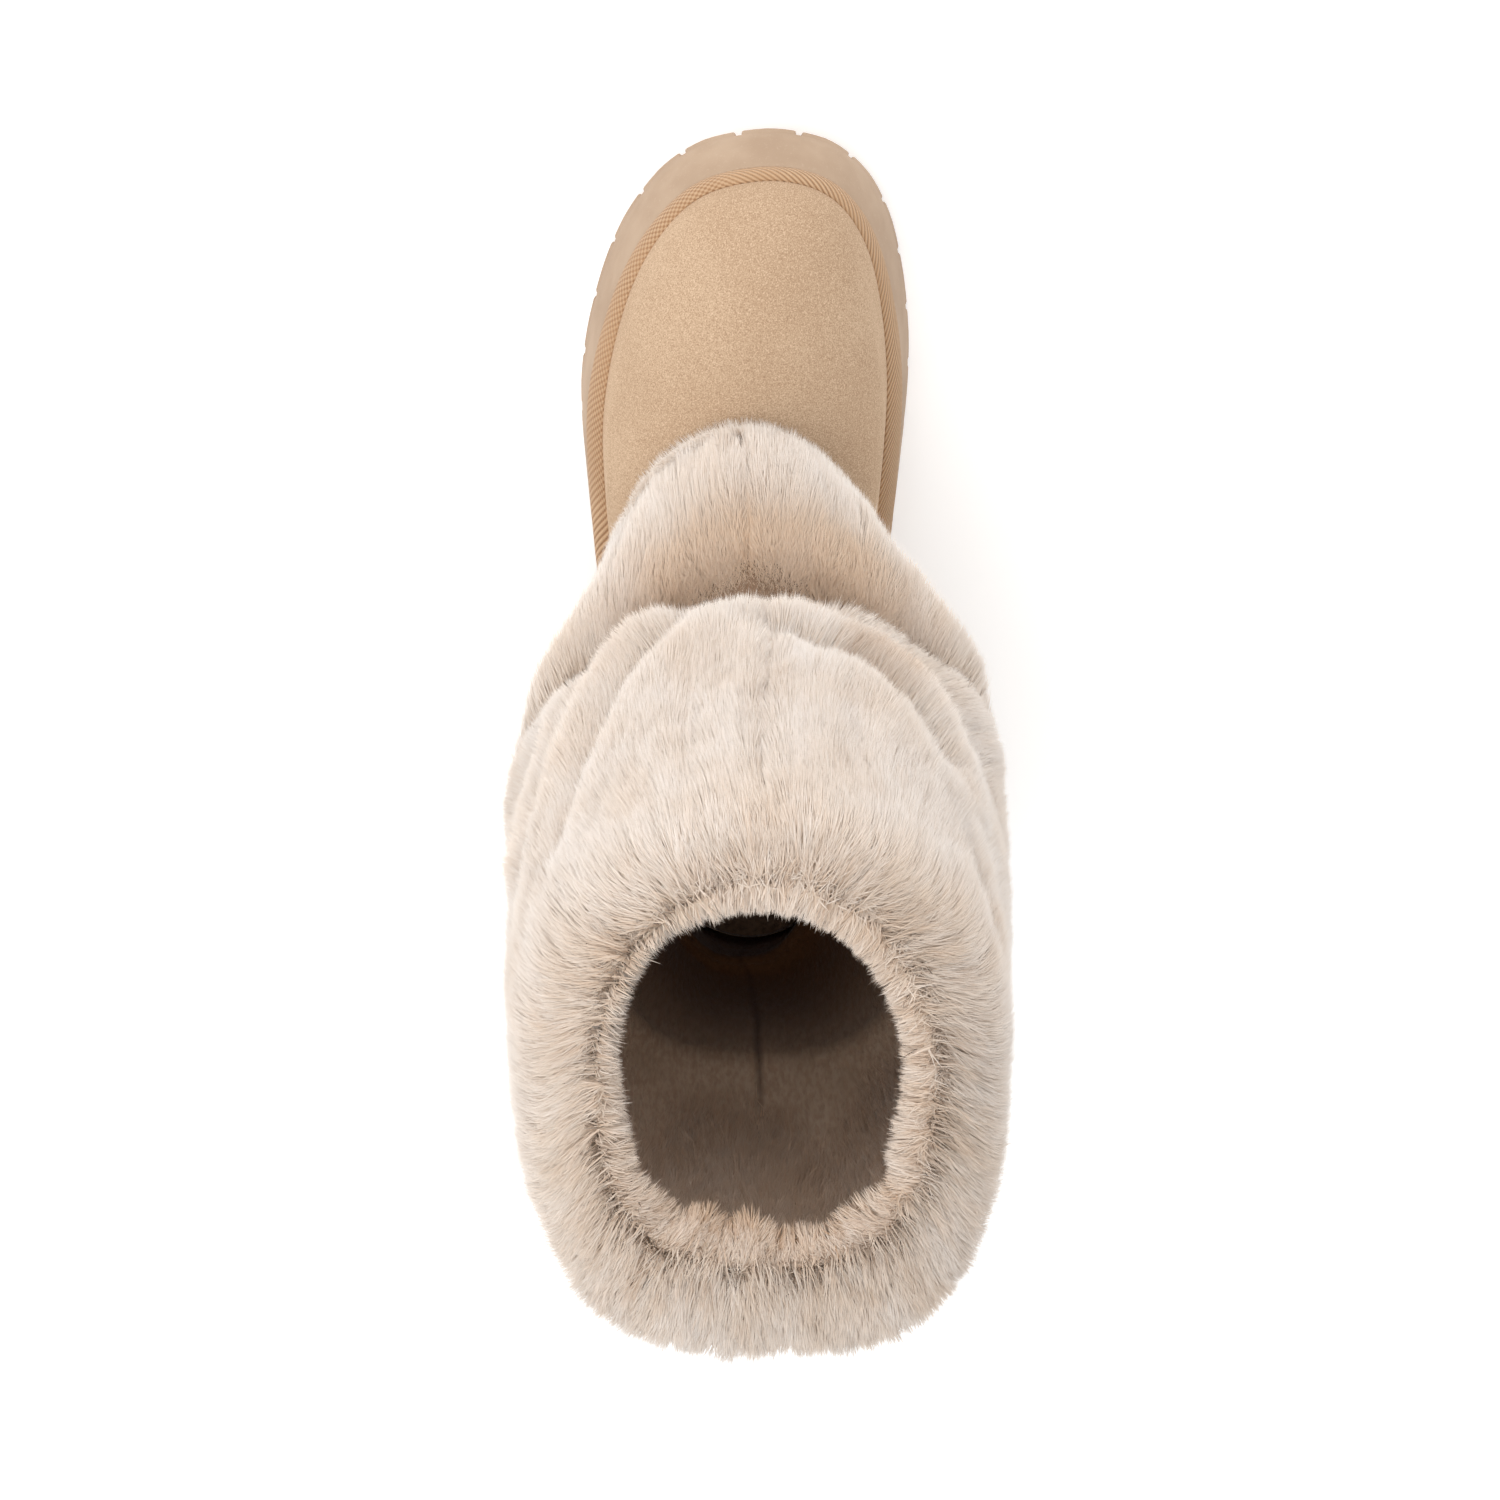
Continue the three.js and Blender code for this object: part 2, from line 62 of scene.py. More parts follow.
def addObject(name, data):
    made = bpy.data.objects.new(name, data)
    bpy.context.scene.collection.objects.link(made)
    return made


# matrix of an object at a place, from its own three axes
def placed(side, up, back, at):
    return Matrix([(side[i], up[i], back[i], at[i]) for i in range(3)] + [(0, 0, 0, 1)])


def makeCamera():
    tilt = math.radians(view["tilt"])
    up, back = (math.sin(tilt), 0, -math.cos(tilt)), (math.cos(tilt), 0, math.sin(tilt))
    eye = [t + view["distance"] * b for t, b in zip(view["target"], back)]
    camera = bpy.data.cameras.new("camera")
    camera.lens = view["lens"]
    camera.sensor_width = view["sensor"]
    camera.clip_end = view["reach"]
    holder = addObject("camera", camera)
    holder.matrix_world = placed((0, -1, 0), up, back, eye)
    bpy.context.scene.camera = holder


def makeLamp(lamp):
    data = bpy.data.lights.new(lamp["name"], "AREA")
    data.size = lamp["size"]
    data.energy = lamp["power"]
    data.color = lamp["colour"]
    back = np.array(lamp["at"]) - studio["litPlace"]
    back /= np.linalg.norm(back)
    side = np.cross((0, 0, 1), back)
    side /= np.linalg.norm(side)
    addObject(lamp["name"], data).matrix_world = placed(side, np.cross(back, side), back, lamp["at"])


makeCamera()
for lamp in lamps:
    makeLamp(lamp)
world = bpy.data.worlds.new("studio")
bpy.context.scene.world = world
world.use_nodes = True
sky = world.node_tree.nodes["Background"].inputs
sky["Color"].default_value = (1, 1, 1, 1)
sky["Strength"].default_value = studio["sky"]
bpy.context.scene.view_settings.view_transform = "Standard"
bpy.context.scene.view_settings.look = "None"
print("camera and light made")


# Shader helpers

def tone(red, green, blue):  # a screen colour, 0 to 255, as the shader's own
    return tuple(((c / 255 + 0.055) / 1.055) ** 2.4 for c in (red, green, blue)) + (1.0,)


class Wire:  # a node's output; sums on it add Math nodes
    def __init__(self, finish, socket):
        self.finish = finish
        self.socket = socket

    def maths(self, operation, first, second):
        return self.finish.node("Math", {"operation": operation}, {0: first, 1: second})

    def __add__(self, other):
        return self.maths("ADD", self, other)

    def __sub__(self, other):
        return self.maths("SUBTRACT", self, other)

    def __mul__(self, other):
        return self.maths("MULTIPLY", self, other)

    def __rsub__(self, other):
        return self.maths("SUBTRACT", other, self)

    def wave(self):
        return self.finish.node("Math", {"operation": "COSINE"}, {0: self * (2 * math.pi)})

    __radd__ = __add__
    __rmul__ = __mul__


class Finish:  # a material under construction
    def __init__(self, name):
        self.material = bpy.data.materials.new(name)
        self.material.use_nodes = True
        self.tree = self.material.node_tree
        self.tree.nodes.clear()

    # a node of this type: its settings are set first, then its sockets get their values or links
    def node(self, kind, settings, sockets, output=0):
        made = self.tree.nodes.new("ShaderNode" + kind)
        for key, value in settings.items():
            if key == "stops":
                ramp = made.color_ramp
                while len(ramp.elements) < len(value):
                    ramp.elements.new(0.5)
                for element, (place, colour) in zip(ramp.elements, value):
                    element.position = place
                    element.color = colour
            else:
                setattr(made, key, value)
        for key, value in sockets.items():
            if isinstance(value, Wire):
                self.tree.links.new(value.socket, made.inputs[key])
            else:
                made.inputs[key].default_value = value
        return Wire(self, made.outputs[output]) if made.outputs else None

    def place(self):  # the piece's own coordinates, in metres
        return self.node("TexCoord", {}, {}, "Object")

    def attribute(self, name):
        return self.node("Attribute", {"attribute_name": name}, {}, "Fac")

    def noise(self, place, scale, detail=2.0, roughness=0.5, output="Fac"):
        sockets = {"Vector": place, "Scale": scale, "Detail": detail, "Roughness": roughness}
        return self.node("TexNoise", {}, sockets, output)

    def stretched(self, place, scale):
        return self.node("Mapping", {}, {"Vector": place, "Scale": scale})

    def ease(self, value, low, high):  # 0 below low, 1 above high, smooth between
        sockets = {"Value": value, "From Min": low, "From Max": high}
        return self.node("MapRange", {"interpolation_type": "SMOOTHSTEP"}, sockets)

    def mix(self, factor, first, second, way="MIX"):
        settings = {"data_type": "RGBA", "blend_type": way}
        return self.node("Mix", settings, {0: factor, 6: first, 7: second}, 2)

    def ramp(self, value, stops):
        return self.node("ValToRGB", {"stops": stops}, {0: value})

    def bump(self, height, strength, distance):
        return self.node("Bump", {}, {"Height": height, "Strength": strength, "Distance": distance})

    def surface(self, sockets):
        shader = self.node("BsdfPrincipled", {}, sockets)
        self.node("OutputMaterial", {}, {"Surface": shader})
        return self.material


# Mesh helpers

noQuads, noTriangles = np.zeros((0, 4), int), np.zeros((0, 3), int)


# quads of a grid of rows and columns of points; wrapColumns and wrapRows join its opposite edges
def gridQuads(rows, columns, wrapColumns=True, wrapRows=False):
    r = np.arange(rows if wrapRows else rows - 1)
    c = np.arange(columns if wrapColumns else columns - 1)
    r, c = [a.ravel() for a in np.meshgrid(r, c, indexing="ij")]
    nextRow, nextColumn = (r + 1) % rows, (c + 1) % columns
    corners = [(r, c), (r, nextColumn), (nextRow, nextColumn), (nextRow, c)]
    return np.stack([row * columns + column for row, column in corners], 1)


def flat(values, kind=np.float32):
    return np.asarray(values, kind).ravel()


def buildMesh(name, points, quads, triangles, values):
    mesh = bpy.data.meshes.new(name)
    corners = np.concatenate([quads.ravel(), triangles.ravel()])
    starts = np.concatenate([np.arange(len(quads)) * 4, quads.size + np.arange(len(triangles)) * 3])
    mesh.vertices.add(len(points))
    mesh.vertices.foreach_set("co", flat(points))
    mesh.loops.add(len(corners))
    mesh.loops.foreach_set("vertex_index", flat(corners, np.int32))
    mesh.polygons.add(len(starts))
    mesh.polygons.foreach_set("loop_start", flat(starts, np.int32))
    mesh.polygons.foreach_set("use_smooth", np.ones(len(starts), bool))
    for key, value in values.items():
        mesh.attributes.new(key, "FLOAT", "POINT").data.foreach_set("value", flat(value))
    mesh.update(calc_edges=True)
    return mesh


# a piece of the scene: replaces names the solids it stands for, merge joins points nearer than that, and
# cloth holds the points' own coordinates on a band
def makePiece(name, points, quads, material, replaces=(), triangles=noTriangles, values=None,
              merge=0.0, cloth=None):
    mesh = buildMesh(name, points.reshape(-1, 3), quads, triangles, values or {})
    if cloth is not None:
        mesh.uv_layers.new(name="cloth").data.foreach_set("uv", flat(cloth[quads.ravel()]))
    if merge:
        work = bmesh.new()
        work.from_mesh(mesh)
        bmesh.ops.remove_doubles(work, verts=work.verts, dist=merge)
        work.to_mesh(mesh)
        work.free()
    mesh.validate()
    piece = addObject(name, mesh)
    mesh.materials.append(material)
    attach(piece, "root")
    if replaces:
        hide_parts(*replaces)
    print(name, len(mesh.polygons), "faces")
    return piece


# The boot's lines, as in its solids

boot = {
    "soleLength": 0.28, "ballWidth": 0.106, "heelRest": 0.036,
    "heelThickness": 0.044, "ballThickness": 0.031, "toeThickness": 0.0265,
    "toeSpring": 0.012, "archRise": 0.003, "heelBevel": 0.002,
    "sideDraft": 0.0032, "toeDraft": 0.0056,
    "weltAtToe": 0.0021, "weltAtSide": 0.0052, "weltAtHeel": 0.0036,
    "shaftHeight": 0.223, "shaftWidth": 0.145, "shaftGirth": 0.5, "shaftShift": -0.004, "rimDrop": 0.005,
    "upperWall": 0.003, "upperBulge": 0.045, "fit": 0.0003,
}

# the sole's outline, from the toe round the outer side: shares of its length and of the ball's width
outlineRows = np.array([
    (1.0, -0.057), (0.98, 0.165), (0.921, 0.325), (0.829, 0.442), (0.7, 0.515), (0.557, 0.502),
    (0.396, 0.457), (0.236, 0.41), (0.11, 0.363), (0.03, 0.226), (0.0, 0.0), (0.03, -0.222),
    (0.11, -0.358), (0.236, -0.387), (0.396, -0.402), (0.557, -0.456), (0.718, -0.486), (0.843, -0.453),
    (0.929, -0.378), (0.982, -0.25),
])

sectionSteps = 720

# front, wide, back, half, riseFront, riseSide, riseBack, lean, round, wall of each section, seam to rim
shaftRows = np.array([
    (0.721, 0.5, 0.03, 0.51, 0.152, 0.062, 0.09, -0.75, 2.6, 0.03),
    (0.747, 0.46, -0.004, 0.66, 0.172, 0.058, 0.09, -0.2, 2.6, 0.07),
    (0.733, 0.4, -0.026, 0.79, 0.246, 0.14, 0.168, 0.3, 2.6, 0.1),
    (0.69, 0.34, -0.036, 0.93, 0.306, 0.226, 0.245, 0.6, 2.6, 0.12),
    (0.633, 0.305, -0.043, 1.0, 0.336, 0.29, 0.306, 0.6, 2.6, 0.13),
    (0.554, 0.314, -0.032, 0.96, 0.332, 0.336, 0.35, 0.7, 2.6, 0.113),
    (0.593, 0.307, -0.054, 1.02, 0.377, 0.386, 0.395, 0.8, 2.6, 0.133),
    (0.614, 0.304, -0.064, 1.045, 0.457, 0.466, 0.471, 0.8, 2.7, 0.14),
    (0.6, 0.293, -0.064, 1.01, 0.619, 0.619, 0.619, 0.7, 2.8, 0.14),
    (0.582, 0.282, -0.063, 0.992, 0.78, 0.78, 0.78, 0.6, 2.9, 0.147),
    (0.564, 0.279, -0.059, 0.96, 0.901, 0.901, 0.901, 0.95, 3.0, 0.167),
    (0.546, 0.282, -0.05, 0.87, 0.969, 0.969, 0.969, 1.2, 3.0, 0.14),
    (0.511, 0.282, 0.05, 0.7, 1.0, 1.0, 1.0, 1.15, 2.5, 0.06),
])


def smooth(value, low, high):  # 0 below low, 1 above high
    part = np.clip((value - low) / (high - low), 0, 1)
    return part * part * (3 - 2 * part)


def near(value, middle, breadth):  # a bell: 1 at the middle, 0.37 a breadth away
    return np.exp(-(((value - middle) / breadth) ** 2))


def mixed(first, second, share):
    return first + (second - first) * share


def evenly(count):  # places from 0 up to 1, without the last
    return np.arange(count) / count


def unit(vectors):
    return vectors / np.maximum(np.linalg.norm(vectors, axis=-1, keepdims=True), 1e-12)


# uniform Catmull-Rom: the curve between b and c, with a before them and d after
def bent(a, b, c, d, t):
    return 0.5 * (2 * b + (c - a) * t + (2 * a - 5 * b + 4 * c - d) * t**2 + (3 * b - a - 3 * c + d) * t**3)


# the curve through a table's rows at places 0 to 1, flat past both ends
def tableAt(rows, share):
    place = np.clip(share, 0, 1) * (len(rows) - 1)
    i = np.minimum(place.astype(int), len(rows) - 2)
    t = (place - i)[..., None]
    return bent(*[rows[np.clip(i + k, 0, len(rows) - 1)] for k in (-1, 0, 1, 2)], t)


# a closed line, toe to heel and back, with each half's points at even lengths: point i lies at i / columns
def byLength(points, columns):
    half = len(points) // 2
    closed = np.vstack([points, points[:1]])
    run = np.concatenate([[0], np.cumsum(np.linalg.norm(np.diff(closed, axis=0), axis=1))])
    part = evenly(columns // 2)
    wanted = np.concatenate([mixed(run[0], run[half], part), mixed(run[half], run[-1], part)])
    return np.stack([np.interp(wanted, run, closed[:, k]) for k in range(3)], 1)


lineColumns = 2880
stepsPerRow = 12


def outlineTable():
    rows = outlineRows * (boot["soleLength"], boot["ballWidth"]) - (boot["heelRest"], 0)
    ring = np.vstack([rows[-2:], rows, rows[:3]])
    place = np.arange(len(rows) * stepsPerRow) / stepsPerRow + 2
    i = place.astype(int)
    points = bent(*[ring[i + k] for k in (-1, 0, 1, 2)], (place - i)[:, None])
    return byLength(np.column_stack([points, np.zeros(len(points))]), lineColumns)


# value of a closed table of points at u
def around(table, u):
    place = np.mod(u, 1) * len(table)
    i = place.astype(int) % len(table)
    return mixed(table[i], table[(i + 1) % len(table)], (place - place.astype(int))[..., None])


# outward normal, seen from above, of a closed table at u
def planNormal(table, u):
    step = 0.004
    along = around(table, u + step) - around(table, u - step)
    return unit(np.stack([along[..., 1], -along[..., 0], np.zeros(along.shape[:-1])], -1))


outline = outlineTable()


def groundAt(x):
    share = (x + boot["heelRest"]) / boot["soleLength"]
    arch = np.sin(np.pi * np.clip((share - 0.34) / 0.2, 0, 1))
    toe = np.maximum(0, share - 0.78) / 0.22
    heel = np.maximum(0, 0.06 - share) / 0.06
    return boot["archRise"] * arch**2 + boot["toeSpring"] * toe**2 + boot["heelBevel"] * heel**2


def topAt(x):
    share = (x + boot["heelRest"]) / boot["soleLength"]
    lift = boot["toeSpring"] + boot["toeThickness"] - boot["ballThickness"]
    level = mixed(boot["heelThickness"], boot["ballThickness"], smooth(share, 0.28, 0.66))
    return level + lift * (np.maximum(0, share - 0.72) / 0.28) ** 2


def aroundFoot(u, toe, side, heel):
    facing = np.cos(2 * np.pi * u)
    return np.where(facing > 0, mixed(side, toe, facing**2), mixed(side, heel, facing**2))


def draftAt(u):
    return aroundFoot(u, boot["toeDraft"], boot["sideDraft"], boot["sideDraft"])


def weltAt(u):
    return aroundFoot(u, boot["weltAtToe"], boot["weltAtSide"], boot["weltAtHeel"])


def insideOutline(u, inset):
    return around(outline, u) - planNormal(outline, u) * np.asarray(inset)[..., None]


# one section of the shaft: an oval with its centre at its widest place, a front and a back length, and its
# own rises; and its wall
def sectionRing(v, columns):
    row = tableAt(shaftRows, np.array([v]))[0]
    front, wide, back, half, riseFront, riseSide, riseBack, lean, roundness, wall = row
    turn = evenly(sectionSteps)
    c, s = np.cos(2 * np.pi * turn), np.sin(2 * np.pi * turn)
    power = 2 / mixed(2, roundness, smooth(-c, 0, 0.2))
    forward = np.sign(c) * np.abs(c) ** power
    reach = np.where(c > 0, front - wide, wide - back) * boot["soleLength"]
    ahead, behind = mixed(riseSide, riseFront, np.abs(forward) ** 1.5), mixed(riseSide, riseBack, forward**2)
    points = np.stack([
        wide * boot["soleLength"] - boot["heelRest"] + reach * forward,
        lean * boot["shaftShift"] + half * boot["shaftWidth"] / 2 * np.sign(s) * np.abs(s) ** power,
        boot["heelThickness"] + np.where(c > 0, ahead, behind) * boot["shaftHeight"],
    ], 1)
    return byLength(points, columns), wall * boot["shaftWidth"]


seam = sectionRing(0, lineColumns)[0]


# the suede's rib at u: straight at the sides and heel, arched at the toe; height is a share of its rise
def upperRib(u, height, extra=0.0):
    edge = insideOutline(u, draftAt(u) + weltAt(u))
    edge[..., 2] = topAt(edge[..., 0]) + boot["fit"]
    top = around(seam, u)
    toeward = np.maximum(0, np.cos(2 * np.pi * u))
    arched = 1 - np.sqrt(1 - np.clip(height, 0, 1) ** 2.17)
    point = mixed(edge, top, mixed(height, arched, np.sqrt(toeward))[..., None])
    point[..., 2] = mixed(edge[..., 2], top[..., 2], height)
    bulge = boot["upperBulge"] * (top[..., 2] - edge[..., 2]) * 4 * height * (1 - height)
    return point + planNormal(outline, u) * (bulge + extra)[..., None]


# smooth random field: random values on a lattice that repeats round the boot, blended between its knots
def drift(u, level, cellsAround, cellsUp, seed):
    values = np.random.default_rng(seed).uniform(-1, 1, (cellsUp + 3, cellsAround))
    x, y = np.mod(u, 1) * cellsAround, np.clip(level, 0, 1) * cellsUp
    i, j = x.astype(int), y.astype(int)
    p, q = smooth(x - i, 0, 1), smooth(y - j, 0, 1)
    low = mixed(values[j, i % cellsAround], values[j, (i + 1) % cellsAround], p)
    high = mixed(values[j + 1, i % cellsAround], values[j + 1, (i + 1) % cellsAround], p)
    return mixed(low, high, q)


# Sole

sole = {
    "stations": 480, "lugDepth": 0.0045, "lugReach": 0.014, "lugLean": 0.0016, "lugGap": 0.004,
    "lugPoints": 7, "edgeLugs": 34, "edgeGap": 0.0021, "edgeRound": 0.0009, "edgeHeight": 0.013,
    "centreLugs": 13, "centrePitch": 0.017, "centreRoot": 0.001, "centreSkew": 0.35, "slot": 0.0005,
    "foam": tone(185, 160, 136), "foamDeep": tone(172, 146, 122), "scuff": tone(197, 175, 153),
}


def soleFinish():
    finish = Finish("soleFoam")
    place = finish.place()
    cloud = finish.noise(place, 38, 3, 0.55)
    grain = finish.noise(place, 900, 3, 0.6)
    fine = finish.noise(place, 2600, 2, 0.5)
    colour = finish.mix(finish.ease(cloud, 0.35, 0.7), sole["foamDeep"], sole["foam"])
    colour = finish.mix(finish.ease(grain, 0.55, 0.75) * 0.35, colour, sole["scuff"])
    relief = grain * 0.7 + fine * 0.3
    return finish.surface({
        "Base Color": colour, "Roughness": 0.62 + grain * 0.2, "Specular IOR Level": 0.35,
        "Normal": finish.bump(relief, 0.35, 0.0002),
    })


# closes a ring with rings that shrink onto the foot's centre line
def capRings(ring, shares):
    mirror = np.roll(ring[::-1], 1, axis=0)
    spine = (ring + mirror) / 2
    return [mixed(ring, spine, share) for share in shares]


# the side: way down and share of the draft; the tread's edge: inset and rise of its rings
sideRows = np.array([(0, 1.16), (0.012, 1.0), (0.03, 0.93), (0.08, 0.86), (0.5, 0.36), (0.82, 0.06), (1, 0)])
treadRows = ((0.0009, 0.0032), (0.0012, 0.0026), (0.0018, 0.0023), (0.0045, 0.0023), (0.0065, 0.0045))


# body: rings down the drafted side, from the top edge to the tread, each an inset of the outline
def soleBody():
    u = evenly(sole["stations"])
    down = np.concatenate([[0, 0.012, 0.03], np.linspace(0.06, 0.97, 18), [0.985, 1.0]])
    inset = np.interp(down, sideRows[:, 0], sideRows[:, 1])
    rings = []
    for d, share in zip(down, inset):
        ring = insideOutline(u, sole["slot"] * d**2 + share * draftAt(u))
        ring[:, 2] = mixed(topAt(ring[:, 0]), groundAt(ring[:, 0]) + sole["lugDepth"], d)
        rings.append(ring)
    for inset, rise in treadRows:
        ring = insideOutline(u, inset)
        ring[:, 2] = groundAt(ring[:, 0]) + rise
        rings.append(ring)
    rings = capRings(rings[0], (1, 0.5, 0.05)) + rings + capRings(rings[-1], (0.05, 0.5, 1))
    for ring in rings[:3]:
        ring[:, 2] = topAt(ring[:, 0])
    for ring in rings[-3:]:
        ring[:, 2] = groundAt(ring[:, 0]) + sole["lugDepth"]
    grid = np.stack(rings)[::-1]
    return grid.reshape(-1, 3), gridQuads(len(rings), sole["stations"])


# lug: a rounded profile carried along its two long sides, seen from above as the lines outer and inner, and
# shrunk at both ends to close it; lean sets its top back
def lugSurface(outer, inner, height, lean=0.0):
    r = sole["edgeRound"]
    width = np.linalg.norm(outer - inner, axis=1).mean()
    across = np.array([lean, 0, r * 0.3, r, width - r, width - r * 0.3, width, width]) / width
    up = np.array([height, r * 2, r * 0.4, 0, 0, r * 0.4, r, height])
    ends = np.array([1, 0.12, 0.03, 0] + [0] * (len(outer) - 2) + [0, 0.03, 0.12, 1])
    order = np.array([0, 0, 0] + list(range(len(outer))) + [len(outer) - 1] * 3)
    shift = np.array([0, 0, 0.35, 1] + [1] * (len(outer) - 2) + [1, 0.35, 0, 0]) * r
    a, b = outer[order], inner[order]
    along = unit(outer[-1] - outer[0])
    away = np.where(np.arange(len(order)) < len(order) / 2, 1, -1) * shift
    point = mixed(a[:, None], b[:, None], across[None, :, None]) + along * away[:, None, None]
    middle = (a + b)[:, None] / 2
    point = mixed(point, middle, ends[:, None, None])
    rise = mixed(up[None], np.full((1, 1), height / 2), ends[:, None])
    point[..., 2] = groundAt(point[..., 0]) + rise
    return point


# sole: the body, a row of lugs round its edge and bars across the tread
def makeSole():
    parts = [soleBody()]
    count = len(parts[0][0])
    gaps = np.random.default_rng(21).uniform(0.6, 1.1, sole["edgeLugs"]) * sole["edgeGap"]
    gaps = gaps / (2 * boot["soleLength"] + boot["ballWidth"])
    lugs = []
    for i, gap in enumerate(gaps):
        low, high = (i + 0.5) / sole["edgeLugs"] + gap / 2, (i + 1.5) / sole["edgeLugs"] - gap / 2
        u = np.linspace(low, high, sole["lugPoints"])
        outer, inner = insideOutline(u, 0), insideOutline(u, sole["lugReach"])
        lugs.append(lugSurface(outer, inner, sole["edgeHeight"], sole["slot"] + sole["lugLean"]))
    for i in range(sole["centreLugs"]):
        middle, reach = i * sole["centrePitch"], (sole["centrePitch"] - sole["lugGap"]) / 2
        near = np.abs(outline[:, 0] - middle) < reach + boot["soleLength"] * 0.03
        width = np.abs(outline[near, 1]).min() - sole["lugReach"] - sole["lugGap"]
        skew = 0 if i == 0 else ((i % 2) * 2 - 1) * reach * sole["centreSkew"]
        y = np.linspace(-width, width, sole["lugPoints"])
        front = np.stack([middle + reach - skew * y / width, y, 0 * y], 1)
        rear = np.stack([middle - reach - skew * y / width, y, 0 * y], 1)
        lugs.append(lugSurface(front, rear, sole["lugDepth"] + sole["centreRoot"]))
    for lug in lugs:
        parts.append((lug.reshape(-1, 3), gridQuads(lug.shape[0], lug.shape[1], True) + count))
        count += lug.shape[0] * lug.shape[1]
    points = np.concatenate([p for p, q in parts])
    quads = np.concatenate([q for p, q in parts])
    return makePiece("soleFoam", points, quads, soleFinish(), ["sole"], merge=1e-6)


makeSole()


# Welt

welt = {
    "stations": 1320, "fit": 0.0005, "lip": 0.0007, "bulge": 0.0009, "height": 0.0065, "reach": 0.0009,
    "foot": 0.0011, "proud": 0.0006, "tuck": 0.0002, "pitch": 0.0023, "slant": 1.35,
    "light": tone(204, 170, 136), "dark": tone(158, 120, 88), "cloud": tone(190, 152, 116),
    "fibre": tone(222, 196, 164),
}


# ribs slant across the band, by its own coordinates in metres; grid is 1 where a second set crosses them
def weltFinish():
    finish = Finish("weltBraid")
    place = finish.place()
    cloth = finish.node("UVMap", {"uv_map": "cloth"}, {})
    split = finish.node("SeparateXYZ", {}, {0: cloth})
    along = split * (1 / welt["pitch"])
    across = Wire(finish, split.socket.node.outputs["Y"]) * (welt["slant"] / welt["pitch"])
    one = (along + across).wave() * 0.5 + 0.5
    two = (along - across).wave() * 0.5 + 0.5
    crossing = finish.attribute("grid")
    ridge = (1 - crossing) * one + crossing * (one * 0.5 + two * 0.5) * (0.55 + one * two * 0.45)
    fibre = finish.noise(place, 2400, 3, 0.6)
    cloud = finish.noise(place, 60, 2, 0.5)
    # painted shade: the grooves between the ribs take the dark brown and the ribs' tops the light one,
    # following the same ridge as the bump
    colour = finish.mix(finish.ease(ridge, 0.0, 0.6), welt["dark"], welt["light"])
    colour = finish.mix(finish.ease(cloud, 0.35, 0.7) * 0.3, colour, welt["cloud"])
    colour = finish.mix(finish.ease(fibre, 0.55, 0.8) * 0.3, colour, welt["fibre"])
    return finish.surface({
        "Base Color": colour, "Roughness": 0.9, "Sheen Weight": 0.1, "Specular IOR Level": 0.2,
        "Normal": finish.bump(ridge + fibre * 0.2, 0.7, 0.0006),
    })


# band: a rounded profile from the sole's edge up onto the suede, carried round the foot
def makeWelt():
    n = welt["stations"]
    u = np.arange(n + 1) / n
    top = around(seam, u)
    base = upperRib(u, 0, welt["fit"])
    share = welt["height"] / (top[:, 2] - base[:, 2])
    outer = insideOutline(u, draftAt(u) - welt["reach"] * 0.6)
    outer[:, 2] = topAt(outer[:, 0]) - welt["foot"]
    inside = upperRib(u, share, -welt["tuck"])
    lifted = insideOutline(u, draftAt(u) - welt["reach"])
    lifted[:, 2] = topAt(lifted[:, 0]) + welt["lip"]
    topOut = upperRib(u, share, welt["proud"]) - np.array([0, 0, welt["tuck"]])
    swell = (planNormal(outline, u) + (0, 0, 1)) * welt["bulge"] * 3
    band = [mixed(lifted, topOut, a) + swell * a * (1 - a) for a in np.linspace(0, 1, 9)]
    grid = np.stack([base, outer] + band + [inside])
    run = np.concatenate([[0], np.cumsum(np.linalg.norm(np.diff(outer, axis=0), axis=1))])
    run *= round(run[-1] / welt["pitch"]) * welt["pitch"] / run[-1]
    across = np.cumsum(np.linalg.norm(np.diff(grid, axis=0), axis=2), axis=0)
    across = np.concatenate([0 * across[:1], across])
    cloth = np.stack([run[None] + 0 * across, across], 2).reshape(-1, 2)
    crossing = np.broadcast_to(smooth(u, 0.01, 0.03) * (1 - smooth(u, 0.2, 0.24)), grid.shape[:2])
    quads = gridQuads(len(grid), n + 1, False, True)
    return makePiece(
        "weltBraid", grid, quads, weltFinish(), ["welt"],
        values={"grid": crossing}, merge=1e-7, cloth=cloth,
    )


makeWelt()


# Suede foot

suede = {
    "stations": 320, "rows": 44, "innerRows": 8,
    "light": tone(193, 165, 137), "mid": tone(183, 154, 126), "dark": tone(160, 130, 102),
    "worn": tone(172, 141, 112), "pit": tone(152, 121, 94), "fleck": tone(226, 200, 172),
    # the pale tone for the flanks near the welt is a painted sheen; the brown for the inner wall is painted
    # shade
    "pore": tone(218, 191, 162), "rubbed": tone(208, 188, 162), "lining": tone(96, 74, 58),
    "sheen": tone(240, 215, 185),
}


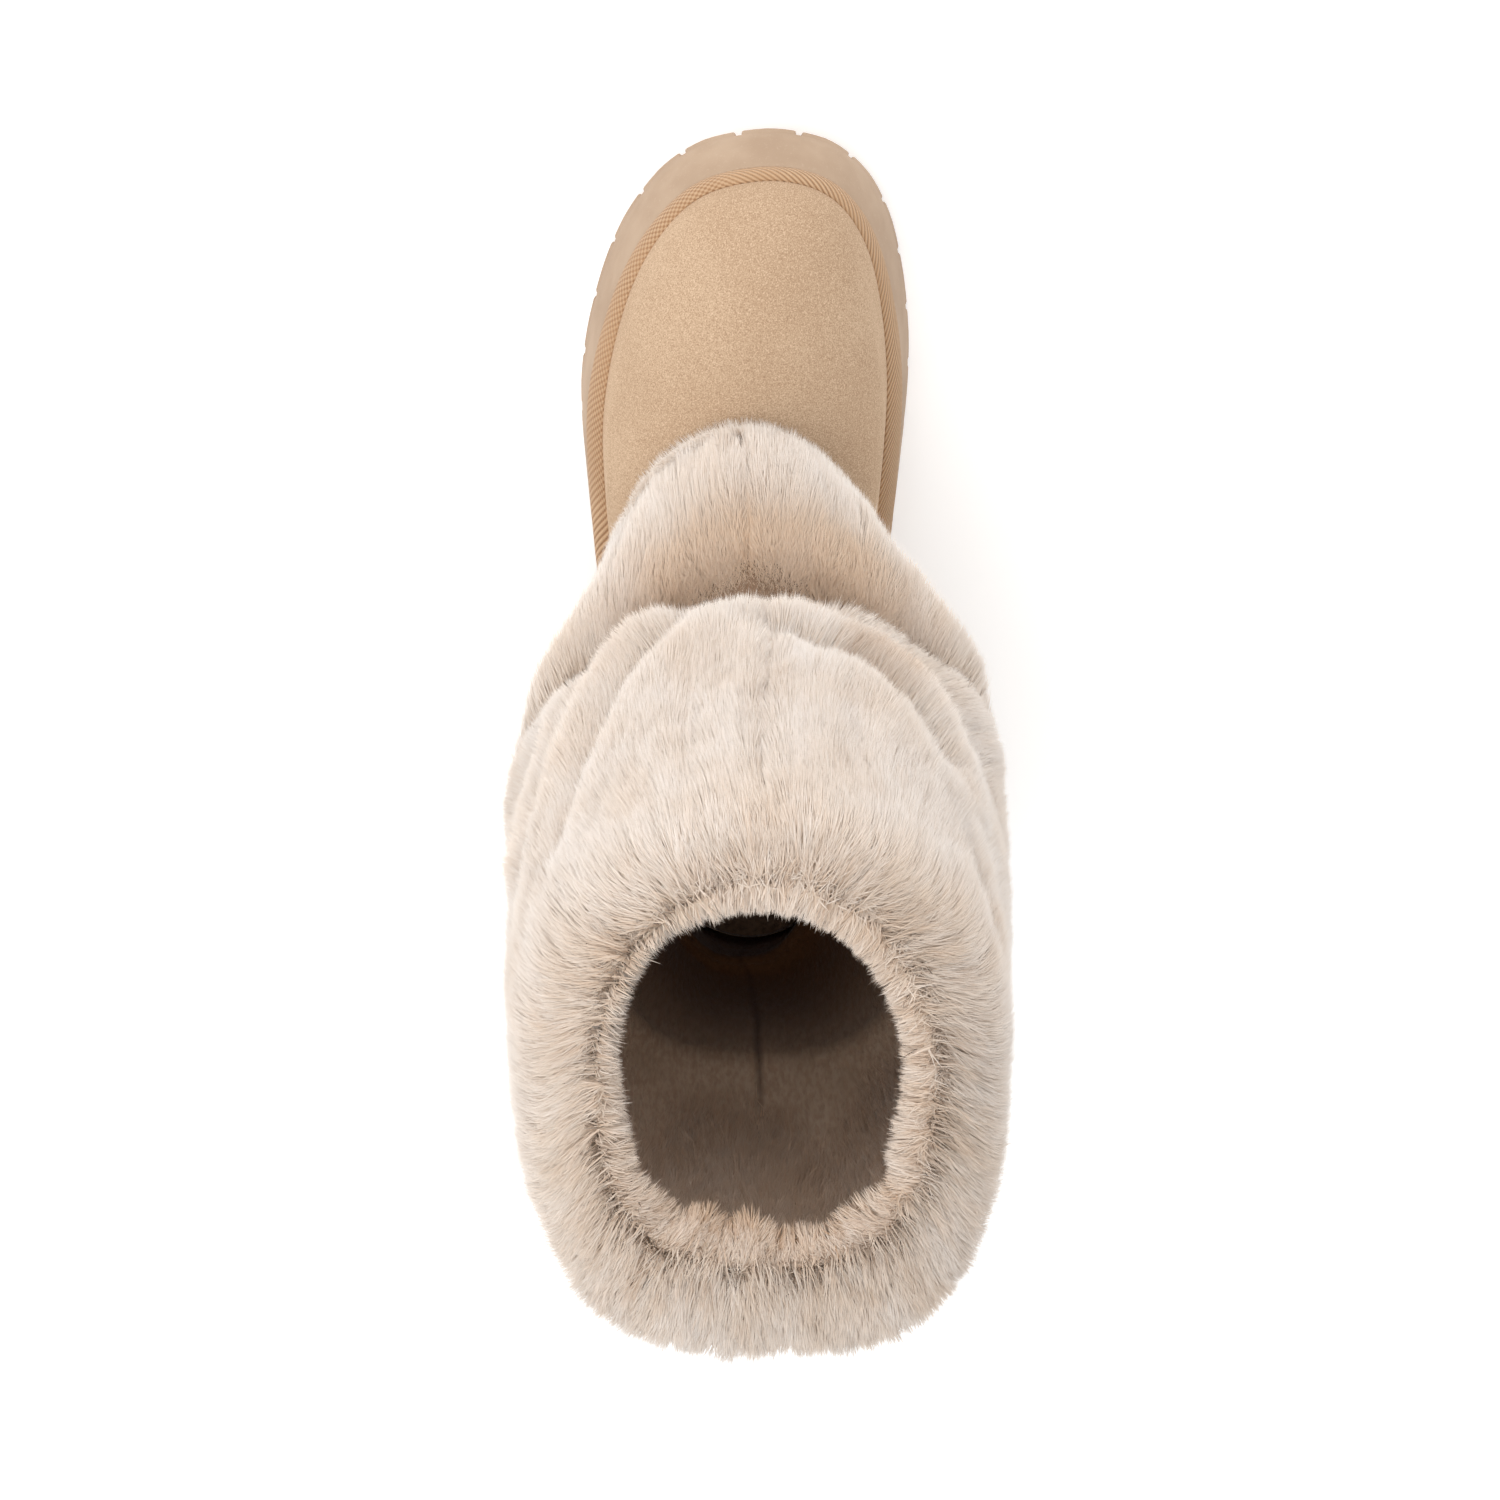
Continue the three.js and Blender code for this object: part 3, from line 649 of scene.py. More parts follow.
def suedeFinish():
    finish = Finish("suede")
    place = finish.place()
    broad = finish.noise(place, 24, 3, 0.55)
    cloud = finish.noise(place, 95, 4, 0.6)
    nap = finish.noise(place, 850, 4, 0.65)
    grain = finish.noise(place, 2300, 2, 0.6)
    pores = finish.noise(place, 3100, 3, 0.6)
    wrinkle = finish.noise(finish.stretched(place, (260, 60, 100)), 1, 3, 0.6)
    colour = finish.mix(finish.ease(broad, 0.32, 0.68), suede["mid"], suede["light"])
    colour = finish.mix(finish.ease(cloud, 0.56, 0.78) * 0.4, colour, suede["worn"])
    colour = finish.mix(finish.ease(nap, 0.5, 0.72) * 0.45, colour, suede["dark"])
    colour = finish.mix(finish.ease(grain, 0.5, 0.68) * 0.75, colour, suede["pit"])
    colour = finish.mix(finish.ease(grain, 0.48, 0.32) * 0.6, colour, suede["fleck"])
    colour = finish.mix(finish.ease(pores, 0.52, 0.75) * 0.45, colour, suede["pore"])
    # painted sheen: the flanks are lightened towards the welt, as light grazing the suede's edge
    colour = finish.mix(finish.attribute("rubbed") * 0.9, colour, suede["rubbed"])
    # painted shade: the inner wall is painted a dark brown for the shade inside the boot
    colour = finish.mix(finish.attribute("inner"), colour, suede["lining"])
    relief = nap * 0.5 + pores * 0.35 + wrinkle * 0.25
    return finish.surface({
        "Base Color": colour, "Roughness": 0.93, "Specular IOR Level": 0.2,
        "Sheen Weight": 0.25, "Sheen Roughness": 0.45, "Sheen Tint": suede["sheen"],
        "Normal": finish.bump(relief, 0.4, 0.00025),
    })


# ribs of the suede from the sole's edge to the seam, and their outward normals
def suedeGrid(stations, count):
    u = evenly(stations)
    heights = np.sin(np.pi / 2 * np.linspace(0, 1, count))
    outer = np.stack([upperRib(u, h) for h in heights])
    side = np.roll(outer, -1, 1) - np.roll(outer, 1, 1)
    return u, heights, outer, unit(np.cross(side, np.gradient(outer, axis=0)))


# foot: the ribs' face, a little uneven, with a wall inwards from it
def makeSuede():
    u, heights, outer, normal = suedeGrid(suede["stations"], suede["rows"])
    level = heights[:, None]
    give = drift(u, level, 14, 5, 11) * 0.0003 + drift(u, level, 34, 12, 12) * 0.00012
    give = give * smooth(level, 0.05, 0.3) * (1 - smooth(level, 0.85, 1))
    outer = outer + normal * give[..., None]
    rows = np.linspace(suede["rows"] - 1, 0, suede["innerRows"]).astype(int)
    inner = outer[rows] - normal[rows] * boot["upperWall"]
    inner[-1, :, 2] = outer[0, :, 2]
    grid = np.concatenate([outer, inner])
    inside = np.repeat([0.0, 1.0], [suede["rows"] - 1, suede["innerRows"] + 1])[:, None] + 0 * u
    # painted sheen along the flanks, fading out above the welt
    flank = np.abs(np.sin(2 * np.pi * u)) ** 2
    rubbed = np.concatenate([(1 - smooth(level, 0.02, 0.3)) * flank, 0 * inner[..., 0]])
    quads = gridQuads(len(grid), suede["stations"], True, True)
    return makePiece(
        "suedeFoot", grid, quads, suedeFinish(), ["upper"],
        values={"inner": inside, "rubbed": rubbed},
    )


makeSuede()


# Insole

# side holds the inset and the rise of each ring up the footbed's edge
insole = {
    "stations": 200, "thickness": 0.005, "gap": 0.002,
    "side": ((0, 0), (0, 0.0036), (0.0004, 0.0045), (0.0014, 0.005)),
    # painted shade: the footbed's beige pile is darkened to these browns for the shade deep inside the boot
    "pile": tone(112, 90, 72), "deep": tone(82, 62, 48), "cloud": tone(114, 92, 74),
}


def insoleFinish():
    finish = Finish("footbedPile")
    place = finish.place()
    curl = finish.noise(place, 420, 4, 0.6)
    cloud = finish.noise(place, 45, 3, 0.5)
    # painted shade: both curl tones are darkened for the shade inside the boot
    colour = finish.mix(finish.ease(curl, 0.3, 0.65), insole["deep"], insole["pile"])
    colour = finish.mix(finish.ease(cloud, 0.45, 0.7) * 0.4, colour, insole["cloud"])
    return finish.surface({
        "Base Color": colour, "Roughness": 1.0, "Sheen Weight": 0.3, "Sheen Roughness": 0.5,
        "Specular IOR Level": 0.1, "Normal": finish.bump(curl, 0.8, 0.0012),
    })


# footbed: a plate inside the suede's wall, its edge rounded, its top rings shrunk onto the centre line
def makeInsole():
    u = evenly(insole["stations"])
    rings = []
    for inset, rise in insole["side"]:
        ring = insideOutline(u, draftAt(u) + weltAt(u) + boot["upperWall"] + insole["gap"] + inset)
        ring[:, 2] = topAt(ring[:, 0]) + boot["fit"] + rise
        rings.append(ring)
    under = capRings(rings[0], (1, 0.5, 0.03))
    over = capRings(rings[-1], (0.03, 0.25, 0.5, 0.75, 1))
    for ring in under:
        ring[:, 2] = topAt(ring[:, 0]) + boot["fit"]
    for ring in over:
        ring[:, 2] = topAt(ring[:, 0]) + boot["fit"] + insole["thickness"]
    grid = np.stack(under + rings + over)
    quads = gridQuads(len(grid), insole["stations"])
    return makePiece("footbedPile", grid, quads, insoleFinish(), ["insole"], merge=1e-6)


makeInsole()


# Fur's base: the skin under the pile, over the rim and down the inside

hide = {
    "columns": 720, "outerRows": 200, "crestRows": 12, "innerRows": 90, "crestHeight": 0.002,
    "sunk": 0.004, "lip": 0.35, "liningLift": 0.003, "socketGap": 0.0002, "stitchHalf": 0.0011,
    "insideShare": 0.75,
    "outside": tone(222, 202, 180), "outsideDark": tone(200, 174, 146), "inside": tone(240, 216, 192),
    "insideDark": tone(220, 190, 164), "cloud": tone(216, 190, 164), "seam": tone(84, 56, 38),
    # the deep brown for the lining's lower part is painted shade
    "depthShade": tone(102, 70, 46), "crest": tone(222, 205, 186),
}

# creases: a line of (around, level) places, depth, breadth. around is a turn from the front, positive to the
# outer side; level is a share of the shaft's height. A negative depth fills a trough of the solid
creases = [
    ([(-0.06, 0.335), (-0.02, 0.345), (0.07, 0.345)], 0.0015, 0.0085),
    ([(-0.03, 0.365), (-0.065, 0.37)], -0.0065, 0.009),
    ([(0.045, 0.375), (0.085, 0.39)], -0.005, 0.01),
    ([(-0.09, 0.34), (-0.14, 0.335), (-0.21, 0.32)], -0.01, 0.015),
    ([(0.11, 0.335), (0.2, 0.33), (0.3, 0.32)], -0.0085, 0.015),
    ([(0.045, 0.43), (0.068, 0.486), (0.093, 0.558), (0.112, 0.66), (0.135, 0.8)], 0.006, 0.0065),
    ([(0.1, 0.36), (0.13, 0.49), (0.165, 0.57), (0.2, 0.73)], 0.005, 0.007),
    ([(0.145, 0.58), (0.17, 0.63), (0.2, 0.66)], 0.005, 0.0055),
    ([(0.0, 0.505), (-0.03, 0.52), (-0.06, 0.515), (-0.09, 0.55), (-0.125, 0.61)], 0.0085, 0.0065),
    ([(-0.14, 0.5), (-0.2, 0.52), (-0.27, 0.46)], 0.0015, 0.009),
    ([(-0.13, 0.74), (-0.17, 0.8), (-0.2, 0.88)], 0.002, 0.006),
    ([(-0.003, 0.36), (-0.003, 0.92)], 0.0024, 0.0026),
    ([(0.012, 0.18), (0.004, 0.32)], 0.0018, 0.0026),
    ([(0.036, 0.5), (0.04, 0.9)], 0.002, 0.004),
    ([(-0.055, 0.6), (-0.058, 0.88)], 0.0015, 0.005),
    ([(0.3, 0.36), (0.46, 0.3)], 0.0065, 0.0087),
    ([(-0.3, 0.3), (-0.47, 0.36)], 0.0065, 0.0087),
    ([(0.33, 0.6), (0.52, 0.55)], 0.005, 0.0116),
    ([(0.26, 0.5), (0.3, 0.62), (0.31, 0.78)], 0.004, 0.008),
    ([(-0.3, 0.55), (-0.34, 0.68), (-0.36, 0.82)], 0.004, 0.008),
]

# lumps of the pile inside the rim: turn, way down from the crest in lining rows, reach, breadth
lumps = np.array([
    (0.485, 6, 0.017, 0.0085), (0.435, 5, 0.015, 0.0085), (-0.465, 5, 0.006, 0.008),
    (-0.4, 4, 0.007, 0.012), (0.38, 4, 0.004, 0.01), (-0.3, 2, 0.0025, 0.012),
    (0.1, 2, -0.0045, 0.02), (0.19, 3, -0.0045, 0.03),
])

# valleys between the lumps, where brown roots show: turn and breadth
valleys = np.array([(0.461, 0.006), (-0.482, 0.006), (0.408, 0.005), (-0.435, 0.006), (-0.35, 0.005)])


# distance to a crease's line in metres on the unrolled skin, and the share of the way along it
def creaseDistance(line, turn, level):
    best, share = np.full(turn.shape, 9.0), np.zeros(turn.shape)
    steps = len(line) - 1
    for k in range(steps):
        (fromTurn, fromLevel), (toTurn, toLevel) = line[k], line[k + 1]
        run = ((toTurn - fromTurn) * boot["shaftGirth"], (toLevel - fromLevel) * boot["shaftHeight"])
        wrapped = turn - fromTurn - np.round(turn - (fromTurn + toTurn) / 2)
        way = (wrapped * boot["shaftGirth"], (level - fromLevel) * boot["shaftHeight"])
        part = np.clip((way[0] * run[0] + way[1] * run[1]) / (run[0] ** 2 + run[1] ** 2), 0, 1)
        distance = np.hypot(way[0] - part * run[0], way[1] - part * run[1])
        share = np.where(distance < best, (k + part) / steps, share)
        best = np.minimum(best, distance)
    return best, share


# how far the creases move the skin outwards: a trough with a soft lip on either side
def creaseMove(turn, level):
    move = np.zeros(turn.shape)
    for line, depth, breadth in creases:
        distance, share = creaseDistance(line, turn, level)
        fade = 0.15 + 0.85 * np.sin(np.pi * np.clip(share, 0.04, 0.96)) ** 0.6
        swell = hide["lip"] * near(distance, 1.7 * breadth, breadth)
        move += depth * fade * (swell - near(distance, 0, breadth))
    return move


def gridNormals(grid):
    side = np.roll(grid, -1, 1) - np.roll(grid, 1, 1)
    rise = np.gradient(grid, axis=0)
    return unit(side), unit(rise), unit(np.cross(side, rise))


# how near each u is to places round the inside, each with its own breadth
def besides(u, turns, breadths):
    aside = np.mod(u[:, None] - turns + 0.5, 1) - 0.5
    return near(aside * boot["shaftGirth"] * hide["insideShare"], 0, breadths)


# how far the lumps move the lining inwards, at u and some way down from the crest
def lumpMove(u, down):
    return (lumps[:, 2] * besides(u, lumps[:, 0], lumps[:, 3]) * near(down, lumps[:, 1], 7)).sum(1)


# the whole skin as one grid: up the outside, over the crest on a half circle, and down the lining
def hideGrid():
    columns = hide["columns"]
    shares = np.linspace(0, 1, hide["outerRows"])
    outer = np.stack([sectionRing(v, columns)[0] for v in shares])
    u = evenly(columns)
    turn = np.broadcast_to(np.where(u > 0.5, u - 1, u), outer.shape[:2])
    level = (outer[..., 2] - boot["heelThickness"]) / boot["shaftHeight"]
    v = np.broadcast_to(shares[:, None], level.shape)
    settled = smooth(v, 0.02, 0.12) * (1 - smooth(v, 0.9, 1))
    normal = gridNormals(outer)[2]
    facing = smooth(np.cos(2 * np.pi * turn), 0.2, 0.9)
    sunk = hide["sunk"] * smooth(v, 0.01, 0.06) * (1 + 0.75 * facing * near(v, 0.1, 0.08))
    body = outer + normal * (creaseMove(turn, level) * settled - sunk)[..., None]
    inner = []
    for share in np.linspace(1, 0, hide["innerRows"]):
        ring, wall = sectionRing(share, columns)
        swell = lumpMove(u, (1 - share) * hide["innerRows"])
        point = ring - planNormal(ring, u) * (wall + swell)[:, None]
        lift = hide["liningLift"] * (1 - smooth(share, 0.06, 0.14))
        point[:, 2] += boot["fit"] + lift - boot["rimDrop"] * smooth(share, 0.88, 1)
        inner.append(point)
    inner = np.stack(inner)
    bend = np.linspace(0, 1, hide["crestRows"] + 2)[1:-1, None, None]
    crest = mixed(body[-1], inner[0], (1 - np.cos(np.pi * bend)) / 2)
    crest = crest + np.sin(np.pi * bend) * np.array([0, 0, hide["crestHeight"]])
    return np.concatenate([body, crest, inner])


skin = hideGrid()
skinSide, skinRise, skinNormal = gridNormals(skin)
skinRows = len(skin)
crestRow = hide["outerRows"] + hide["crestRows"] / 2
liningRow = hide["outerRows"] + hide["crestRows"]
print("skin worked out", skin.shape)


def hideFinish():
    finish = Finish("hide")
    place = finish.place()
    inner = finish.attribute("inner")
    stitch = finish.attribute("stitch")
    curl = finish.noise(finish.stretched(place, (700, 700, 200)), 1, 4, 0.6)
    cloud = finish.noise(place, 60, 3, 0.55)
    outside = finish.mix(finish.ease(curl, 0.35, 0.65), hide["outsideDark"], hide["outside"])
    lining = finish.mix(finish.ease(curl, 0.35, 0.65), hide["insideDark"], hide["inside"])
    lining = finish.mix(finish.ease(cloud, 0.4, 0.7) * 0.5, lining, hide["cloud"])
    # painted shade: the lining darkens to a deep brown further down inside the boot
    lining = finish.mix(finish.attribute("deep"), lining, hide["depthShade"])
    lining = finish.mix(stitch, lining, hide["seam"])
    colour = finish.mix(finish.attribute("crest"), finish.mix(inner, outside, lining), hide["crest"])
    return finish.surface({
        "Base Color": colour, "Roughness": 1.0, "Specular IOR Level": 0.1, "Sheen Weight": 0.2,
        "Normal": finish.bump(curl + cloud * 0.5, 0.8, 0.0012),
    })


# sock: down the inside of the suede to the insole and back up under the seam
def sockRings(stations):
    foot, normal = suedeGrid(stations, 9)[2:]
    gap = boot["upperWall"] + hide["socketGap"]
    down = [foot[k] - normal[k] * (gap + 0.0012) for k in (8, 7, 5, 3, 1)]
    back = [foot[k] - normal[k] * gap for k in (1, 4, 7)]
    return down + back + [foot[7] - normal[7] * 0.0015 - np.array([0, 0, 0.0012])]


# hide: a share of the skin's rows, lowered a little under the crest, and the sock
def makeHide():
    rows = np.concatenate([
        np.linspace(0, hide["outerRows"] - 1, 84), np.linspace(hide["outerRows"], liningRow - 1, 4),
        np.linspace(liningRow, skinRows - 1, 28),
    ]).round().astype(int)
    sunk = 0.0018 * near(rows, crestRow - 3, 9)
    grid = (skin[rows] - skinNormal[rows] * sunk[:, None, None])[:, ::3]
    sock = sockRings(grid.shape[1])
    grid = np.concatenate([grid, sock])
    u = evenly(grid.shape[1])
    rows = np.concatenate([rows, [skinRows] * len(sock)]).astype(float)[:, None] + 0 * u
    stitch = 0.7 * near((u - 0.5) * boot["shaftGirth"], 0, hide["stitchHalf"])
    values = {
        "inner": smooth(rows, crestRow - 2, liningRow + 4),
        "stitch": stitch * smooth(rows, liningRow + 18, liningRow + 56),
        # painted shade: 0 near the crest, 1 deep down the lining
        "deep": smooth(rows, liningRow + 38, skinRows - 12),
        "crest": near(rows, crestRow - 5, 9),
    }
    quads = gridQuads(len(grid), grid.shape[1], True, True)
    return makePiece("hide", grid, quads, hideFinish(), ["shaft"], values=values)


makeHide()


# Pile

pile = {
    "length": 0.0145, "rimLength": 0.008, "hemLength": 0.003, "innerLength": 0.007, "width": 0.00044,
    "rest": 0.0052, "clump": 0.0065, "tuft": 0.0027, "gather": 0.2, "tuftGather": 0.45, "rooted": 0.0004,
    "root": tone(188, 161, 136), "body": tone(233, 217, 201), "tip": tone(249, 242, 236),
    "warm": tone(240, 220, 199), "cool": tone(248, 247, 246), "brown": tone(142, 98, 66),
    # the last two tones darken the strands by multiplying: painted shade, and on the rim a tone that differs
    # from tuft to tuft
    "brownTip": tone(226, 194, 160), "dusk": tone(226, 208, 190), "deep": tone(255, 242, 230),
}


def pileFinish(name):
    finish = Finish(name)
    place = finish.place()
    reach = finish.attribute("reach")
    warmth = finish.attribute("warmth")
    brown = finish.attribute("brown")
    cloud = finish.noise(place, 30, 3, 0.5)
    fleck = finish.noise(place, 900, 2, 0.5)
    colour = finish.ramp(reach, [(0.0, pile["root"]), (0.35, pile["body"]), (1.0, pile["tip"])])
    shift = finish.ease(cloud, 0.35, 0.68) * 0.3 + warmth * 0.5
    colour = finish.mix(shift, colour, finish.mix(reach, pile["root"], pile["warm"]))
    colour = finish.mix(brown, colour, finish.mix(reach, pile["brown"], pile["brownTip"]))
    colour = finish.mix(finish.ease(fleck, 0.5, 0.8) * 0.2, colour, pile["cool"])
    # painted shade: strands darkened in the parting, the inner crease, over the crest, at the back inside the
    # rim and deeper inside the boot; on the rim also a tuft-to-tuft tone
    colour = finish.mix(finish.attribute("dusk"), colour, pile["dusk"], "MULTIPLY")
    colour = finish.mix(finish.attribute("deep"), colour, pile["deep"], "MULTIPLY")
    return finish.surface({
        "Base Color": colour, "Roughness": 0.8, "Specular IOR Level": 0.2,
        "Sheen Weight": 0.3, "Sheen Roughness": 0.4,
    })


# value of a grid at row (float) and u
def gridAt(grid, row, u):
    row = np.clip(row, 0, skinRows - 1.001)
    column = np.mod(u, 1) * hide["columns"]
    i, j = row.astype(int), column.astype(int) % hide["columns"]
    p, q = row - i, column - column.astype(int)
    nextColumn = (j + 1) % hide["columns"]
    if grid.ndim == 3:
        p, q = p[:, None], q[:, None]
    low, high = [mixed(grid[i + k, j], grid[i + k, nextColumn], q) for k in (0, 1)]
    return mixed(low, high, p)


stepAround = np.linalg.norm(np.roll(skin, -1, 1) - skin, axis=2)
stepUp = np.linalg.norm(np.gradient(skin, axis=0), axis=2)
cellArea = stepAround * stepUp
runUp = np.cumsum(stepUp, axis=0)

patches = [
    {"name": "pileRoll", "rows": (0.0, 0.42), "turn": (-0.5, 0.5), "count": 170000, "front": 1.8},
    {"name": "pileSleeveFront", "rows": (0.42, 0.94), "turn": (-0.16, 0.16), "count": 160000, "front": 1.0},
    {"name": "pileSleeveLeft", "rows": (0.42, 0.94), "turn": (0.16, 0.5), "count": 140000, "front": 1.0},
    {"name": "pileSleeveRight", "rows": (0.42, 0.94), "turn": (-0.5, -0.16), "count": 140000, "front": 1.0},
    {"name": "pileRim", "rows": (0.94, 1.28), "turn": (-0.5, 0.5), "count": 190000, "front": 1.0},
]


# rows (float) and u of strands' roots, spread evenly over the skin, with more of them at the front
def scatter(patch, rng):
    low, high = [share * (hide["outerRows"] - 1) for share in patch["rows"]]
    rows = np.arange(skinRows)
    u = evenly(hide["columns"])
    turn = np.mod(u - patch["turn"][0], 1) + patch["turn"][0]
    inRows, inTurn = (rows >= low) & (rows < high), (turn >= patch["turn"][0]) & (turn < patch["turn"][1])
    facing = 1 + (patch["front"] - 1) * smooth(np.cos(2 * np.pi * u), -0.2, 0.8)
    edge = rows[:, None] + 6 * drift(u, 0, 22, 2, 40)[None]
    thinned = 1 - smooth(edge, liningRow + 12, liningRow + 36)
    weight = (cellArea * (inRows[:, None] & inTurn) * facing * thinned).ravel()
    picked = np.searchsorted(np.cumsum(weight), rng.uniform(0, weight.sum(), patch["count"]))
    row, column = np.divmod(picked, hide["columns"])
    jitter = rng.uniform(-0.5, 0.5, (2, patch["count"]))
    return np.clip(row + jitter[0], 0, skinRows - 1.01), np.mod((column + jitter[1]) / hide["columns"], 1)


# where the roots show: under the sleeve's fringe, and in the crease on the inner side, which is also painted
# in warm shade
def rootsShown(u, turn, level, share):
    edge = share + 0.02 * drift(u, 0, 34, 2, 41)
    under = smooth(edge, 0.27, 0.335) * (1 - smooth(np.abs(turn + 0.006), 0.055, 0.115)) * (share < 0.43)
    crease = near(level, 0.49, 0.03) * smooth(-turn, 0.03, 0.05) * (1 - smooth(-turn, 0.09, 0.13))
    return under, crease * (share > 0.42)


cellKeys = 8192  # how many kinds of clump and of tuft there are


# cells of the pile, wandering so that no rows show: each root's cell, and its place in it, -1 to 1 both ways
def cells(u, run, breadth, stretch, seed):
    lanes = round(boot["shaftGirth"] / breadth)
    along = run / (breadth * stretch) + 1.1 * drift(u, run / 0.35, 46, 24, seed)
    lane = np.floor(along)
    across = u * lanes + 1.1 * drift(u, run / 0.35, 46, 24, seed + 1) + 0.5 * np.mod(lane, 2)
    cell = np.floor(across)
    key = (np.mod(cell, lanes) * 997 + lane * 13).astype(int) % cellKeys
    return key, (across - cell) * 2 - 1, (along - lane) * 2 - 1


# the strands' roots with the skin's axes there, and how far each place of the boot reaches them, 0 to 1
def placesOf(row, u, rng):
    at = SimpleNamespace(row=row, u=u, count=len(row), turn=np.where(u > 0.5, u - 1, u))
    at.root, at.normal = gridAt(skin, row, u), unit(gridAt(skinNormal, row, u))
    at.side, at.rise = unit(gridAt(skinSide, row, u)), unit(gridAt(skinRise, row, u))
    at.share = row / (hide["outerRows"] - 1)
    at.level = (at.root[:, 2] - boot["heelThickness"]) / boot["shaftHeight"]

    run = gridAt(runUp, row, u)
    clump, at.clumpAcross, at.clumpAlong = cells(u, run, pile["clump"], 1.4, 37)
    tuft, at.tuftAcross, at.tuftAlong = cells(u, run, pile["tuft"], 2.2, 42)
    at.clumps = np.random.default_rng(55).uniform(-1, 1, (5, cellKeys))[:, clump]
    at.tufts = np.random.default_rng(56).uniform(-1, 1, (5, cellKeys))[:, tuft]

    # the parting on the crest, the rim's fluff, the front's middle line, the hem, bare roots
    at.parting = hide["outerRows"] - 3 + 3 * drift(u, 0, 44, 2, 31) + 2.5 * drift(u, 0, 19, 2, 45)
    at.past = (row - at.parting - 3.5 * at.tufts[4]) / 3.2 + 1.2 * rng.normal(0, 1, at.count)
    at.inward = smooth(at.past, -1, 1)
    at.edge = near(row, crestRow + 2, 8)
    at.fluff = smooth(at.share, 0.86, 0.96)
    beside = at.turn - np.interp(at.level, [0.18, 0.32, 0.36, 0.92], [0.012, 0.004, -0.003, -0.003])
    at.beside = beside * boot["shaftGirth"] / 0.0022
    middle = near(at.beside, 0, 1) * smooth(at.level, 0.2, 0.25) * (1 - smooth(at.level, 0.9, 0.95))
    at.middle = middle * (at.share < 1)
    at.hem = 1 - smooth(at.share, 0.02, 0.1)
    at.facing = smooth(np.cos(2 * np.pi * u), 0.2, 0.9)
    at.under, at.crease = rootsShown(u, at.turn, at.level, at.share)
    return at


# comb: down the outside, inwards past the parting, swept aside over the inner side's small roll
def combOf(at, rng):
    swept = smooth(-at.turn, 0.015, 0.05) * (1 - smooth(-at.turn, 0.14, 0.2)) * near(at.level, 0.42, 0.07)
    angle = 0.2 * drift(at.u, at.level, 13, 8, 32) + 0.14 * drift(at.u, at.level, 34, 22, 33) - 0.6 * swept
    angle = angle + (0.09 + 0.1 * at.fluff) * at.clumps[0] + 0.25 * at.fluff * at.tufts[0]
    angle = angle + rng.normal(0, 1, at.count) * (0.09 + 0.1 * at.fluff + 0.12 * at.under)
    angle = angle + 0.3 * at.middle * np.tanh(3 * at.beside)
    upright = 1 - np.abs(np.tanh(at.past))
    down = np.sign(at.past) * (1 - upright)
    comb = at.rise * (down * np.cos(angle))[:, None] + at.side * np.sin(angle)[:, None]

    # at the seam the pile lies on the suede instead of curling under
    slope = unit(upperRib(at.u, 0.86) - upperRib(at.u, 1.0))
    laid = 1 - smooth(at.share, 0.01, 0.05)
    return angle, upright, down, unit(mixed(comb, slope + at.side * np.sin(angle)[:, None], laid[:, None]))


# each strand's length, and how high its tip stands over the skin, as a share of the pile's rest
def lengthOf(at, upright, rng):
    length = mixed(mixed(pile["length"], pile["rimLength"], at.fluff), pile["innerLength"], at.inward)
    hemLength = pile["hemLength"] * (1 + 0.7 * drift(at.u, 0, 60, 2, 39) + 0.4 * drift(at.u, 0, 160, 2, 43))
    hemLength = hemLength * (1 - 0.7 * at.facing)
    length = mixed(length, hemLength, at.hem**0.4) * (1 - 0.35 * at.under) * (1 - 0.2 * at.crease)
    tufted = 0.1 * at.clumps[1] + 0.25 * at.fluff * at.tufts[1]
    length = length * (1 + tufted + rng.normal(0, 0.12, at.count))
    lift = 1 + 0.12 * at.clumps[2] + 0.2 * at.fluff * at.tufts[2] + rng.normal(0, 0.14, at.count)
    lift = lift * mixed(1 + 0.15 * near(at.row, at.parting, 7), mixed(0.45, 0.65, at.edge), at.inward)
    lift = lift * (1 + 0.15 * at.under + 0.35 * upright) * (1 - 0.85 * at.hem) * (1 - 0.25 * at.middle)
    return length, lift * (1 - 0.3 * at.facing * near(at.share, 0.1, 0.06))


# the blade's three points, square to the strand and rolled a little off the skin, and its shading normal
def bladeOf(at, comb, tip, tipNormal, rng):
    normal = unit(at.normal + np.array([0, 0, 1.4]) * at.hem[:, None])
    along = unit(tip - at.root)
    across = unit(np.cross(normal, along))
    roll = rng.uniform(-0.6, 0.6, at.count)
    breadth = across * np.cos(roll)[:, None] + np.cross(along, across) * np.sin(roll)[:, None]
    width = (pile["width"] * rng.uniform(0.7, 1.3, at.count) * (1 + 0.2 * at.fluff))[:, None] / 2
    start = at.root - normal * pile["rooted"]
    points = np.stack([start - breadth * width, start + breadth * width, tip], 1)

    # shading: the skin's normal, rounded over each clump and tuft
    face = np.cross(breadth, along)
    face = face * np.sign((face * normal).sum(1))[:, None]
    ruffle = rng.normal(0, 1, (at.count, 3)) * (0.05 + 0.03 * at.fluff + 0.07 * at.under)[:, None]
    domed = at.side * (0.12 * at.clumpAcross + 0.22 * at.fluff * at.tuftAcross)[:, None]
    domed = domed - at.rise * (0.08 * at.clumpAlong + 0.16 * at.fluff * at.tuftAlong)[:, None]
    shade = mixed(normal, tipNormal, (0.4 * (1 - at.hem))[:, None])
    return points, unit(shade + face * 0.15 + comb * 0.1 + ruffle + domed)
